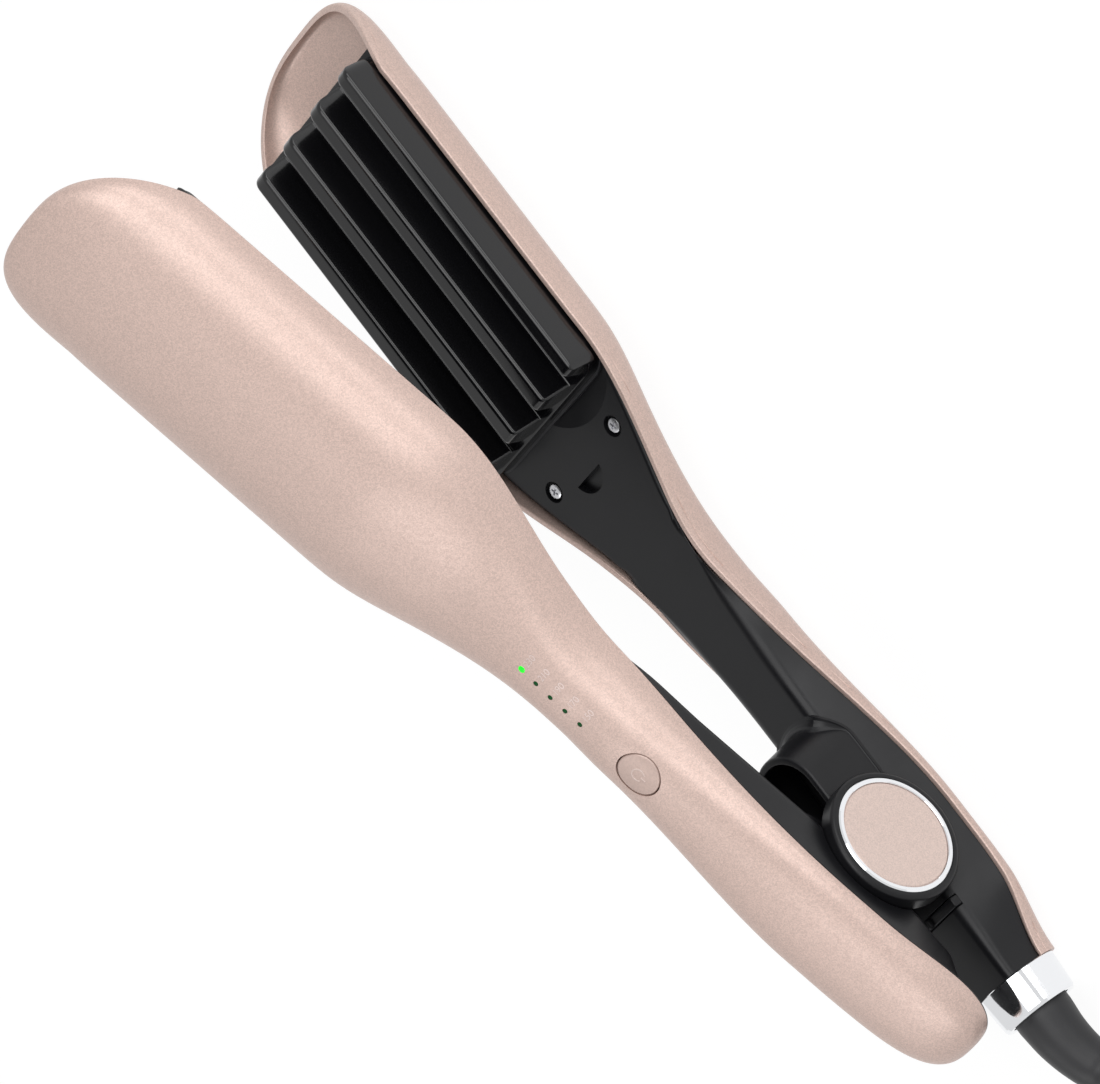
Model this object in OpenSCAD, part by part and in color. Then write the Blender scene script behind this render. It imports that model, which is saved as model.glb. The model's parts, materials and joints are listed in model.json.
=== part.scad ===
// Hair waver: two tapered arms on a side hinge, each with a ribbed heating plate.
// The object lies on its back: the rear arm is below, the front arm swings open above it.
// Each arm is drawn in its own frame: x from the pivot to the tip, y along the pivot,
// z up to the plane on which the closed arms meet. Depth means the distance below that plane.

/* [Arms] */
// Distance from the pivot to the tip of an arm
tip_reach = 252.5; // [246:0.5:262]
// Distance from the pivot to the tail of the front arm
tail_reach = 47.5; // [46:0.5:54]
// Width of an arm at the hinge
hinge_width = 31.2; // [30:0.2:33]
// Width of an arm at its neck
neck_width = 26.2; // [25:0.2:30]
// Width of the paddle that carries the plate
paddle_width = 61.6; // [61.2:0.2:66]
// Depth of the crown at the hinge
hinge_depth = 28.8; // [28:0.2:32]
// Depth of the crown under the button
grip_depth = 26; // [25.2:0.2:27]
// Depth of the crown at the neck
neck_depth = 22; // [21:0.2:24]
// Depth of the crown under the plate
paddle_depth = 25.3; // [24:0.2:27]
// Depth of the casing's edge at the hinge
hinge_rim = 22.6; // [21:0.2:23.4]
// Depth of the casing's edge beside the plate
paddle_rim = 6.2; // [5.6:0.2:7.4]
// How far the casing's edge sweeps back at the tip
tip_sweep = 14; // [10:0.5:15]
// Wall of the casings
wall = 1.6; // [1.2:0.1:1.8]
// Depth of the flat inner face of the arms
face_depth = 9; // [8.6:0.1:9.4]
// Thickness of the liners
liner_t = 3.2; // [3:0.1:3.6]
// Angle between the arms at rest
open_angle = 16; // [8:0.5:18]

/* [Plates] */
// Where the ribs start, from the pivot
rib_start = 135.5; // [134:0.5:138]
// Length of the ribs
rib_length = 94; // [88:0.5:96]
// Distance from one rib to the next
rib_pitch = 15.2; // [14.6:0.1:15.4]
// Number of ribs on a plate
rib_count = 4; // [4:1:4]
// Height of the ribs' crests above the meeting plane
crest_rise = 3; // [2:0.1:3.4]
// Width of a crest
crest_width = 4.4; // [4:0.1:5]
// How far a flank leans out over its height
flank_run = 2.9; // [2.6:0.1:3.2]
// Depth of the grooves below the meeting plane
groove_depth = 5; // [4.6:0.1:5.4]
// Rounding of the ribs' long edges
rib_round = 1.2; // [0.8:0.1:1.6]
// Rounding of the ribs' ends
rib_end_round = 3; // [2:0.2:4]
// Distance from the paddle's edge to the plate
plate_inset = 2.2; // [2.1:0.1:3]
// Length that the base reaches past the ribs at each end
base_reach = 1.5; // [1:0.1:2]
// Thickness of the tray under a plate
tray_t = 1.5; // [1.2:0.1:1.6]

/* [Heaters] */
// Length of a heating strip
heater_length = 64; // [50:1:68]
// Width of a heating strip
heater_width = 18; // [12:1:20]
// Thickness of the steel strap that holds a heating strip
strap_t = 0.8; // [0.6:0.1:1.2]
// Radius of the thermal fuse
fuse_r = 2; // [1.6:0.1:2.4]

/* [Hinge] */
// Radius of the hinge pin
pin_r = 3; // [2.4:0.1:3.4]
// Radial gap of the pin in the front arm's knuckle
pin_play = 0.06; // [0.04:0.01:0.1]
// Radius of the ears and of the knuckle
knuckle_r = 8; // [7.6:0.1:8.4]
// Half width of the front arm's knuckle
knuckle_half = 6.4; // [6:0.1:6.6]
// Half distance from ear to ear, inside
ear_in = 7; // [6.9:0.1:7.2]
// Half distance from ear to ear, outside
ear_out = 11.7; // [11.4:0.1:12]
// Radius of the hinge caps
cap_r = 17.6; // [17.2:0.1:18.4]
// Thickness of a hinge cap
cap_t = 4.9; // [4.4:0.1:5.6]
// Outer radius of the bright ring on a cap
ring_r = 15.72; // [15.2:0.1:16]
// Width of the bright ring
ring_w = 1.4; // [1:0.1:2]
// Depth of the seat that holds ring and disc
ring_seat = 2; // [1.6:0.1:2.6]
// Wire radius of the hinge spring
spring_wire_r = 0.6; // [0.5:0.05:0.7]
// Number of turns of the hinge spring
spring_turns = 4; // [3:1:4]
// Height of the hood above the meeting plane
hood_rise = 5; // [3:0.2:6]
// Half width of the hood at its foot
hood_half = 14; // [13.4:0.1:14.4]
// Where the hood's front stands, from the pivot
hood_front = 37; // [35:0.5:40]
// Wall of the hood
hood_wall = 2; // [1.6:0.1:2.4]

/* [Controls] */
// Distance from the pivot to the power button
button_x = 56; // [54:0.5:60]
// Radius of the power button
button_r = 5.7; // [5:0.1:6]
// Gap around the power button
button_gap = 0.25; // [0.2:0.05:0.4]
// Travel of the power button
button_travel = 0.5; // [0.3:0.05:0.5]
// Distance from the pivot to the lamp nearest the hinge
lamp_x = 74.3; // [73:0.1:76]
// Distance from one lamp to the next
lamp_pitch = 4.75; // [4:0.05:5]
// Number of lamps
lamp_count = 5; // [3:1:5]
// Radius of a lamp's light pipe
lamp_r = 0.75; // [0.5:0.05:0.9]
// Width of the lock bar along the arm
lock_w = 2.6; // [2.2:0.1:4]
// Height of the lock bar with its finger tab
lock_h = 3.4; // [3.2:0.1:4.4]
// Travel of the lock bar
lock_travel = 3; // [2:0.1:4]

/* [Cord end] */
// Where the collar starts, from the pivot
collar_x = 42; // [40:0.5:44]
// Length of the bright collar
collar_length = 10; // [8:0.5:12]
// Radius of the collar where it meets the arm
collar_r = 10.8; // [10.4:0.1:11]
// Depth of the collar's axis
collar_depth = 18.6; // [18:0.1:19]
// Bore radius of the collar
collar_bore = 8.2; // [8:0.1:8.4]
// Radius of the swivel's journal
journal_r = 4.4; // [4:0.1:4.8]
// Radial gap of the journal in its socket
journal_play = 0.06; // [0.04:0.01:0.1]
// Radius of the strain relief where it leaves the collar
relief_r = 7.5; // [7:0.1:7.8]
// Radius of the power cord
cord_r = 3; // [2.8:0.1:3.2]

/* [Plug] */
// Width of the plug's flat grip
plug_w = 35.3; // [33:0.1:37]
// Thickness of the plug's flat grip
plug_t = 13.6; // [13:0.1:13.8]
// Length of a plug pin
plug_pin_length = 19; // [18:0.5:20]
// Radius of a plug pin
plug_pin_r = 2; // [1.8:0.05:2.4]
// Distance between the plug pins' axes
plug_pin_gap = 18.6; // [17.5:0.1:20]

/* [Fasteners] */
// Distance from the pivot to the liner screws
screw_x = 121.9; // [120:0.1:124]
// Distance of a liner screw from the middle
screw_y = 15.3; // [14:0.1:16]
// Radius of a screw head
head_r = 1.95; // [1.6:0.05:2.2]
// Radius of a screw shaft
shaft_r = 1.25; // [1:0.05:1.4]

/* [Hidden] */
$fn = 96;

// Gap between pieces that seat on each other, and a hair of overlap for clean cuts
seat = 0.05;
eps = 0.01;
// Clearance between pieces that move past each other
run_gap = 0.35;

// ---- smooth profiles of an arm --------------------------------------------------------------
function ease(t) = let(u = max(0, min(1, t))) u * u * (3 - 2 * u);
function blend(x, s, i = 0) =
    x <= s[0][0] ? s[0][1]
    : i >= len(s) - 1 ? s[i][1]
    : x <= s[i + 1][0] ? s[i][1] + (s[i + 1][1] - s[i][1]) * ease((x - s[i][0]) / (s[i + 1][0] - s[i][0]))
    : blend(x, s, i + 1);
// How an arm's width and height close towards an end: 1 inside, 0 at the end
function closing(t, n) = t <= 0 ? 1 : t >= 1 ? 0 : pow(1 - pow(t, n), 1 / n);

// Stretches over which the ends close
tip_round = 40.5;
tail_round = 27.5;
// Length left off at a closed end, where the skin would come to a point
end_cut = 0.55;
tip_t = function(x) (x - (tip_reach - tip_round)) / tip_round;
tail_t = function(x) (-x - (tail_reach - tail_round)) / tail_round;
// The rear arm's tail narrows to the collar instead of closing
rear_tail = function(x) ease((-x - (tail_reach - tail_round)) / (collar_x - tail_reach + tail_round));

neck_from = 58;
neck_to = 80;
paddle_from = 144;
function side(x) = blend(x, [[0, hinge_width / 2], [neck_from, neck_width / 2], [neck_to, neck_width / 2],
                             [paddle_from, paddle_width / 2]]);
function rim(x) = blend(x, [[-tail_reach, hinge_rim - 3.1], [-10, hinge_rim], [0, hinge_rim],
                            [100, paddle_rim + 2.1], [150, paddle_rim]])
                  + tip_sweep * pow(max(0, x - (tip_reach - 28.5)) / 28, 1.3);
function crown(x) = blend(x, [[0, hinge_depth], [62, grip_depth], [78, grip_depth - 1],
                              [118, neck_depth], [150, paddle_depth]]);
// Half width and height of the casing's section over its rim; rear arms end in the collar
function half(x, rear) = side(x) * closing(tip_t(x), 3)
    * (rear ? 1 + (collar_r / (hinge_width / 2) - 1) * rear_tail(x) : closing(tail_t(x), 3));
function rise(x, rear) = (crown(x) - rim(x)) * closing(tip_t(x), 5)
    * (rear ? 1 : closing(tail_t(x), 3));
rear_crown_end = collar_depth + collar_r;
function casing_rise(x, rear) = rise(x, rear)
    + (rear ? (rear_crown_end - 0.2 - hinge_depth) * rear_tail(x) : 0);

section_n = 2.5;
function super(c, n) = sign(c) * pow(abs(c), 2 / n);
// One section of the casing from the +y edge over the crown to the -y edge
section_steps = 18;
function casing_section(x, inset, rear) = let(
        hw = max(0.4, half(x, rear) - inset),
        h = max(0.3, casing_rise(x, rear) - inset))
    [for (j = [0 : section_steps]) let(t = 180 * j / section_steps)
        [x, hw * super(cos(t), section_n), -(rim(x) + h * super(sin(t), section_n))]];

// ---- stations along an arm ------------------------------------------------------------------
end_steps = 9;
function toward_end(from, to, n) = [for (i = [1 : n]) from + (to - from) * sin(90 * i / n)];
mid_steps = 20;
grip_start = -10;
paddle_end = tip_reach - tip_round;
mid_stations = [for (i = [0 : mid_steps]) grip_start + (paddle_end - grip_start) * i / mid_steps];
function stations(tail, tip) = concat(
    [for (i = [0 : end_steps - 1]) tail + (grip_start - tail) * (1 - cos(90 * i / end_steps))],
    mid_stations,
    toward_end(paddle_end, tip, end_steps));

// ---- lofts ----------------------------------------------------------------------------------
// A closed ring of n points swept through sections. Both ends are capped by triangles
// between point j and its partner n - 1 - j, which suits a tube and a folded wall alike.
module ring_loft(sections) {
    n = len(sections[0]);
    m = len(sections);
    last = (m - 1) * n;
    polyhedron(
        points = [for (s = sections) each s],
        faces = concat(
            [for (i = [0 : m - 2], j = [0 : n - 1]) let(k = (j + 1) % n) each
                [[i * n + j, i * n + k, (i + 1) * n + j], [(i + 1) * n + j, i * n + k, (i + 1) * n + k]]],
            [for (j = [0 : n / 2 - 2]) each [[j + 1, j, n - 1 - j], [j + 1, n - 1 - j, n - 2 - j]]],
            [for (j = [0 : n / 2 - 2]) each [[last + j, last + j + 1, last + n - 1 - j],
                                             [last + j + 1, last + n - 2 - j, last + n - 1 - j]]]));
}

// A casing: outer and inner skins joined along the rim. At a closed end the inner skin draws
// together into an end wall; the rear arm's tail stays open for the collar.
function folded(x_out, x_in, inset, rear) =
    concat(casing_section(x_out, 0, rear), reverse(casing_section(x_in, inset, rear)));
module casing(rear) {
    tail = rear ? -collar_x + seat : end_cut - tail_reach;
    tip = tip_reach - end_cut;
    outer_x = stations(tail, tip);
    inner_x = stations(rear ? tail : tail + wall, tip - wall);
    ring_loft(concat(
        rear ? [] : [folded(tail - seat, tail + wall, tip, rear)],
        [for (i = [0 : len(outer_x) - 1]) folded(outer_x[i], inner_x[i], wall, rear)],
        [folded(tip + seat, tip - wall, tip, rear)]));
}
function reverse(v) = [for (i = [len(v) - 1 : -1 : 0]) v[i]];

// ---- liner ----------------------------------------------------------------------------------
// The liner's edge lies on the casing's rim along the handle and inside it along the paddle
seam = 0.15;
edge_gap = 0.3;
tuck_from = 66;
tuck_to = 86;
sink_to = 104;
liner_lip = face_depth + liner_t;
function tuck(x) = ease((x - tuck_from) / (tuck_to - tuck_from));
// Half width between the casing's walls at the depth of the liner's lip
function room_half(x, rear) = (half(x, rear) - wall)
    * pow(1 - pow(max(0, liner_lip - rim(x)) / (casing_rise(x, rear) - wall), section_n), 1 / section_n);
function liner_edge(x, rear) = let(over = half(x, rear) - 0.2)
    over + (room_half(x, rear) - edge_gap - over) * tuck(x);
function liner_foot(x) = let(over = rim(x) - seam)
    over + (liner_lip - over) * ease((x - tuck_to) / (sink_to - tuck_to));
// Half width of the liner's flat face, from the hinge to the plate
liner_flats = [[22, 5.5], [44, 8.6], [70, 9.2], [92, 11.4], [118, paddle_width / 2]];
function liner_flat(x, rear) = min(liner_edge(x, rear) - 0.6, blend(x, liner_flats));
bevel_steps = 5;
bevel_n = 1.5;
function liner_side(x, rear, inset) = let(
        e = liner_edge(x, rear) - inset,
        f = min(liner_flat(x, rear) - inset * 0.6, e - 0.4),
        top = face_depth + inset,
        low = max(top, liner_foot(x)))
    [for (j = [0 : bevel_steps]) let(t = 90 * j / bevel_steps)
        [x, f + (e - f) * super(cos(t), bevel_n), -(low - (low - top) * super(sin(t), bevel_n))]];
function flip_y(v) = [for (p = v) [p[0], -p[1], p[2]]];
function liner_section(x, rear) = let(o = liner_side(x, rear, 0), i = liner_side(x, rear, liner_t - 0.2))
    concat(i, reverse(flip_y(i)), flip_y(o), reverse(o));

liner_tip = rib_start + rib_length + base_reach + 1;
module liner_skin(rear) {
    tail = rear ? -collar_x + seat : -(tail_reach - 1);
    xs = concat([for (i = [0 : 5]) tail + (grip_start - tail) * i / 6],
                mid_stations,
                [for (i = [1 : 4]) paddle_end + (liner_tip - paddle_end) * i / 4]);
    ring_loft([for (x = xs) liner_section(x, rear)]);
}

// ---- placing --------------------------------------------------------------------------------
// The rear arm rests on its crown at the hinge and under the plate, rest_back from the tip
rest_back = 30.5;
rest_x = tip_reach - rest_back;
rest_tilt = atan((hinge_depth - paddle_depth) / rest_x);
pivot_height = max([for (x = [-collar_x : 2 : tip_reach])
    (rim(x) + casing_rise(x, true)) * cos(rest_tilt) + x * sin(rest_tilt)]);
collar_end = collar_x + collar_length;
collar_end_r = collar_r - 0.7;
arm_tip = tip_reach - end_cut + seat;
front_reach = arm_tip * cos(rest_tilt) - rim(arm_tip) * sin(rest_tilt);
back_reach = collar_end * cos(rest_tilt) + (collar_depth + collar_end_r) * sin(rest_tilt);
middle_x = (front_reach - back_reach) / 2;
module stand() { translate([-middle_x, 0, pivot_height]) rotate([0, rest_tilt, 0]) children(); }
module rear_arm() { stand() children(); }
// The front arm is the rear arm turned over and swung open
module front_arm() { stand() rotate([0, -open_angle, 0]) rotate([180, 0, 0]) children(); }

// ---- helpers --------------------------------------------------------------------------------
// A cylinder along the pivot between two values of y
module across(r, from, to) { translate([0, to, 0]) rotate([90, 0, 0]) cylinder(r = r, h = to - from); }
// A cylinder into an arm's depth
module sunk(x, y, r, from, to) { translate([x, y, -to]) cylinder(r = r, h = to - from); }
// A block between two corners given as x, y and depth
module block(a, b) { translate([a[0], a[1], -b[2]]) cube([b[0] - a[0], b[1] - a[1], b[2] - a[2]]); }
module both_sides() { children(); mirror([0, 1, 0]) children(); }
// Depth of the casing's inner face over a point
function skin_depth(x, y, inset, rear) = rim(x) + (casing_rise(x, rear) - inset)
    * pow(1 - pow(abs(y) / (half(x, rear) - inset), section_n), 1 / section_n);

// ---- plates ---------------------------------------------------------------------------------
rib_end = rib_start + rib_length;
base_from = rib_start - base_reach;
base_to = rib_end + base_reach;
base_half = paddle_width / 2 - plate_inset;
rib_y = function(i) (i - rib_count / 2 + 0.25) * rib_pitch;
rib_height = crest_rise + groove_depth;
flank_angle = atan(flank_run / rib_height);
// A rounded corner of the rib outline: centre, start angle and end angle
function corner(c, r, from, to) = [for (k = [0 : 4]) let(t = from + (to - from) * k / 4)
    [c[0] + r * cos(t), c[1] + r * sin(t)]];
edge_in = rib_round * tan((90 - flank_angle) / 2);
function rib_foot(y, s) = [y + s * (crest_width / 2 + flank_run), -groove_depth];
wall_slope = 0.35;
plate_outline = concat(
    [[-base_half, -face_depth], [-base_half, -groove_depth]],
    [for (i = [0 : rib_count - 1]) each concat(
        i == 0 ? [[max(-base_half + 0.3, rib_y(0) - crest_width / 2 - wall_slope), -groove_depth + 0.4]]
               : [rib_foot(rib_y(i), -1)],
        i == 0 ? corner([rib_y(0) - crest_width / 2 + rib_round, crest_rise - rib_round], rib_round, 180, 90)
               : corner([rib_y(i) - crest_width / 2 + edge_in, crest_rise - rib_round], rib_round,
                        180 - flank_angle, 90),
        corner([rib_y(i) + crest_width / 2 - edge_in, crest_rise - rib_round], rib_round, 90, flank_angle),
        [rib_foot(rib_y(i), 1)])],
    [[base_half, -groove_depth], [base_half, -face_depth]]);
// Side view that rounds the ribs' ends
module rib_side() {
    r = rib_end_round;
    difference() {
        translate([rib_start, -face_depth]) square([rib_length, crest_rise + face_depth]);
        translate([rib_end - r, crest_rise - r]) difference() {
            square(r + eps);
            circle(r);
        }
        translate([rib_start - eps, crest_rise - r / 2]) difference() {
            square([r / 2 + eps, r / 2 + eps]);
            translate([r / 2 + eps, 0]) circle(r / 2);
        }
    }
}
base_round = 7;
rib_corner = 4;
module rounded_rect(x0, x1, hy, r) {
    translate([x0 + r, -hy]) square([x1 - x0 - 2 * r, 2 * hy]);
    translate([x0, -hy + r]) square([x1 - x0, 2 * hy - 2 * r]);
    for (x = [x0 + r, x1 - r], y = [-hy + r, hy - r]) translate([x, y]) circle(r);
}
module plate() {
    intersection() {
        translate([rib_start, 0, 0]) rotate([90, 0, 90]) linear_extrude(rib_length) polygon(plate_outline);
        translate([0, base_half + 1, 0]) rotate([90, 0, 0]) linear_extrude(2 * base_half + 2) rib_side();
        translate([0, 0, -face_depth - 1]) linear_extrude(face_depth + crest_rise + 2)
            rounded_rect(base_from, base_to, base_half, rib_corner);
    }
    translate([0, 0, -face_depth + seat]) linear_extrude(face_depth - groove_depth - seat)
        rounded_rect(base_from, base_to, base_half, base_round);
}

// ---- tray, heating strip and strap under a plate --------------------------------------------
heater_mid = (rib_start + rib_end) / 2;
window_half = heater_width / 2 + 2;
window_from = heater_mid - heater_length / 2 - 3;
window_to = heater_mid + heater_length / 2 + 3;
tray_half = base_half - 0.3;
module tray() {
    difference() {
        translate([0, 0, -face_depth - tray_t + seat]) linear_extrude(tray_t - seat)
            rounded_rect(base_from - 0.6, base_to, tray_half, base_round);
        block([window_from, -window_half, face_depth - 1], [window_to, window_half, face_depth + tray_t + 1]);
        for (x = strap_ends) sunk(x, 0, shaft_r + 0.1, face_depth - 1, face_depth + tray_t + 1);
    }
}
heater_back = liner_lip + seat;
module heater() {
    translate([0, 0, -heater_back]) linear_extrude(heater_back - face_depth - seat)
        rounded_rect(heater_mid - heater_length / 2, heater_mid + heater_length / 2, heater_width / 2, 1);
}
strap_reach = 7;
strap_ends = [window_from - strap_reach / 2, window_to + strap_reach / 2];
strap_face = heater_back + seat;
strap_back = strap_face + strap_t;
module strap() {
    difference() {
        translate([0, 0, -strap_back]) linear_extrude(strap_t)
            rounded_rect(window_from - strap_reach, window_to + strap_reach, heater_width / 2 - 2, 3);
        for (x = strap_ends) sunk(x, 0, shaft_r + 0.1, strap_face - 1, strap_back + 1);
    }
}
module strap_screws() {
    for (x = strap_ends) {
        sunk(x, 0, shaft_r, face_depth + 0.4, strap_back + seat + eps);
        difference() {
            sunk(x, 0, head_r, strap_back + seat, strap_back + seat + 1.3);
            sunk(x, 0, 0.6, strap_back + 1, strap_back + 2);
        }
    }
}

// ---- liner screws ---------------------------------------------------------------------------
screw_recess = 1.6;
head_t = 1.3;
shaft_length = 6;
boss_r = 2.6;
module cross_cut(x, y, top) {
    for (a = [0, 90]) translate([x, y, -top]) rotate([0, 0, a + 20]) cube([2.4, 0.6, 1.2], center = true);
}
module liner_screws() {
    top = face_depth + screw_recess - head_t - seat;
    for (s = [-1, 1]) difference() {
        union() {
            sunk(screw_x, s * screw_y, head_r, top, top + head_t);
            sunk(screw_x, s * screw_y, shaft_r, top + head_t - eps, top + head_t + shaft_length);
        }
        cross_cut(screw_x, s * screw_y, top);
    }
}
module casing_bosses(rear) {
    for (s = [-1, 1]) difference() {
        sunk(screw_x, s * screw_y, boss_r, liner_lip + seat,
             skin_depth(screw_x, screw_y + boss_r * 0.8, wall / 2, rear));
        sunk(screw_x, s * screw_y, shaft_r + 0.05, liner_lip - 1,
             face_depth + screw_recess + shaft_length + 0.5);
    }
}

// ---- features that both liners share --------------------------------------------------------
recess_from = base_from - 0.6 - seat;
pit_x = 119.25;
pit_r = 5.55;
pit_front = 118.2;
pit_y = 2;
pit_depth = 2.2;
dish_r = 17.5;
dish_depth = 2.4;
dish_reach = 126.8;
dish_y = -12.6;
module liner_cuts() {
    // Seat of the tray and the window for the heating strip
    translate([0, 0, -face_depth - tray_t]) linear_extrude(tray_t + 1)
        rounded_rect(recess_from, base_to + 10, tray_half + seat, base_round);
    block([window_from, -window_half, face_depth], [window_to, window_half, liner_lip + 1]);
    for (x = strap_ends) sunk(x, 0, shaft_r + 0.1, face_depth, liner_lip + 1);
    // Screw recesses
    for (s = [-1, 1]) {
        sunk(screw_x, s * screw_y, head_r + 0.85, face_depth - 1, face_depth + screw_recess);
        sunk(screw_x, s * screw_y, shaft_r + 0.15, face_depth, liner_lip + 1);
    }
    // Finger dish behind the plate and the half-round pit beside it
    sphere_r = (dish_r * dish_r + dish_depth * dish_depth) / (2 * dish_depth);
    intersection() {
        translate([dish_reach + dish_r, dish_y, -face_depth - dish_depth + sphere_r])
            sphere(r = sphere_r, $fn = 96);
        block([dish_reach - 1, dish_y - dish_r, face_depth - 1],
              [recess_from + 1, dish_y + dish_r, liner_lip]);
    }
    intersection() {
        sunk(pit_x, pit_y, pit_r, face_depth - 1, face_depth + pit_depth);
        block([pit_front - 2 * pit_r, pit_y - pit_r, face_depth - 2],
              [pit_front, pit_y + pit_r, liner_lip]);
    }
}

// ---- hinge ----------------------------------------------------------------------------------
cap_in = ear_out + 0.1;
cap_out = cap_in + cap_t;
cap_seat_gap = 0.15;
pin_half = cap_in + 1.6;
spring_r = pin_r + 1.6;
spring_half = 3.2;
module cap_cut(gap) { both_sides() across(cap_r + gap, cap_in - gap, cap_out + 10); }
module hood_profile(front, hy, back) {
    translate([back, -hy]) square([front - hy - back, 2 * hy]);
    translate([front - hy, 0]) circle(hy, $fn = 48);
}
// The hood leans forward towards its foot
hood_lean = 3;
hood_foot = 16;
hood_back = 8;
hood_in = hood_half - 3;
module hood_solid(inset) {
    hull() {
        translate([0, 0, hood_rise - 0.1 + (inset > 0 ? 1 : 0)]) linear_extrude(0.1)
            hood_profile(hood_front - hood_lean - inset, hood_in - inset, hood_back);
        translate([0, 0, -hood_foot]) linear_extrude(0.1)
            hood_profile(hood_front + hood_lean / 3 - inset, hood_in - inset, hood_back);
    }
}
module ears() {
    both_sides() difference() {
        union() {
            across(knuckle_r, ear_in, ear_out);
            block([-knuckle_r, ear_in, 0], [knuckle_r, ear_out, hood_foot]);
        }
        across(pin_r + 0.02, ear_in - 1, ear_out + 1);
    }
}
module rear_liner() {
    color([0.06, 0.06, 0.065]) rear_arm() difference() {
        union() {
            liner_skin(true);
            ears();
            difference() {
                hood_solid(0);
                hood_solid(hood_wall);
            }
        }
        liner_cuts();
        cap_cut(cap_seat_gap);
        across(pin_r + 0.02, -ear_out - 1, ear_out + 1);
        // Channel in which the lock bar slides
        lock_reach = lock_half + lock_travel / 2 + lock_gap;
        block([-lock_x - lock_w - lock_gap, -lock_reach, face_depth - 1],
              [-lock_x + lock_gap, lock_reach, face_depth + lock_sink + lock_gap]);
    }
}
knuckle_web = 24;
module front_liner() {
    color([0.06, 0.06, 0.065]) front_arm() difference() {
        union() {
            liner_skin(false);
            across(knuckle_r, -knuckle_half, knuckle_half);
            // Web that carries the knuckle, reaching into the hood
            translate([0, knuckle_half, 0]) rotate([90, 0, 0]) linear_extrude(2 * knuckle_half)
                polygon([[-knuckle_r, 0], [-knuckle_r, -face_depth - 2], [knuckle_web, -face_depth - 2],
                         [knuckle_web - 3, -face_depth + 4], [knuckle_r, 0]]);
            // Posts under the control board
            for (x = board_posts, y = [-board_post_y, board_post_y])
                sunk(x, y, post_r, liner_lip - 1, board_face - seat);
        }
        liner_cuts();
        cap_cut(run_gap);
        across(pin_r + pin_play, -knuckle_half - 1, knuckle_half + 1);
        // Room for the spring, open towards the rear arm
        across(spring_r + spring_wire_r + 0.5, -spring_half - 0.4, spring_half + 0.4);
        block([-knuckle_r - 1, -spring_half - 0.4, -knuckle_r - 1], [spring_r, spring_half + 0.4, 0]);
        for (x = board_posts, y = [-board_post_y, board_post_y])
            sunk(x, y, shaft_r + 0.05, liner_lip - 2, board_face + 1);
    }
}
module hinge_pin() {
    color("silver") rear_arm() across(pin_r, -pin_half, pin_half);
}
// A wound tube: rings of sides points round a list of centres
function unit(v) = v / norm(v);
function tube_rings(path, r, sides, up) = [for (i = [0 : len(path) - 1]) let(
        a = path[max(0, i - 1)], b = path[min(len(path) - 1, i + 1)],
        t = unit(b - a), n = unit(cross(t, up)), m = cross(n, t))
    [for (k = [0 : sides - 1]) let(q = 360 * k / sides) path[i] + r * (cos(q) * n + sin(q) * m)]];
spring_rings = 12;
spring_rise = 2 * (spring_half - spring_wire_r - 0.2);
spring_lead = 1.4;
spring_leg = 8.2;
module hinge_spring() {
    turns = spring_turns;
    coil = [for (i = [0 : turns * spring_rings]) let(q = 180 + 360 * i / spring_rings)
        [spring_r * cos(q), -spring_rise / 2 + spring_rise * i / (turns * spring_rings), spring_r * sin(q)]];
    lead = [[-spring_r, -spring_rise / 2, spring_lead]];
    tail = [[-spring_r, spring_rise / 2, -spring_leg]];
    color("lightgray") rear_arm()
        ring_loft(tube_rings(concat(lead, coil, tail), spring_wire_r, 6, [0, 1, 0]));
}
module cap_profile() {
    r = 1.2;
    difference() {
        square([cap_r, cap_t]);
        translate([cap_r - r, cap_t - r]) difference() {
            square(r + eps);
            circle(r, $fn = 48);
        }
        translate([-eps, cap_t - ring_seat]) square([ring_r + seat + eps, ring_seat + eps]);
        translate([-eps, -eps]) square([pin_r + 0.03 + eps, pin_half - cap_in + 0.2]);
    }
}
// Turns a profile drawn as radius and height above a cap's inner face about the pivot
module on_cap(side) {
    rear_arm() mirror([0, side < 0 ? 1 : 0, 0]) translate([0, cap_in, 0]) rotate([-90, 0, 0])
        rotate_extrude($fn = 96) children();
}
ring_proud = 0.25;
module cap(side) { color([0.08, 0.08, 0.085]) on_cap(side) cap_profile(); }
module ring(side) {
    w = ring_w;
    t = ring_seat + ring_proud - seat;
    b = 0.4;
    color([0.9, 0.9, 0.92]) on_cap(side) translate([ring_r - w, cap_t - ring_seat + seat])
        polygon([[0, 0], [w, 0], [w, t - b], [w - b, t], [b / 2, t], [0, t - b / 2]]);
}
module disc(side) {
    r = ring_r - ring_w - seat;
    color([0.87, 0.72, 0.66]) on_cap(side) translate([0, cap_t - ring_seat + seat])
        polygon([[0, 0], [r, 0], [r, ring_seat - 0.35], [r - 0.3, ring_seat - 0.05], [0, ring_seat - 0.05]]);
}
module near_cap() cap(-1);
module far_cap() cap(1);
module near_ring() ring(-1);
module far_ring() ring(1);
module near_disc() disc(-1);
module far_disc() disc(1);

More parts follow.
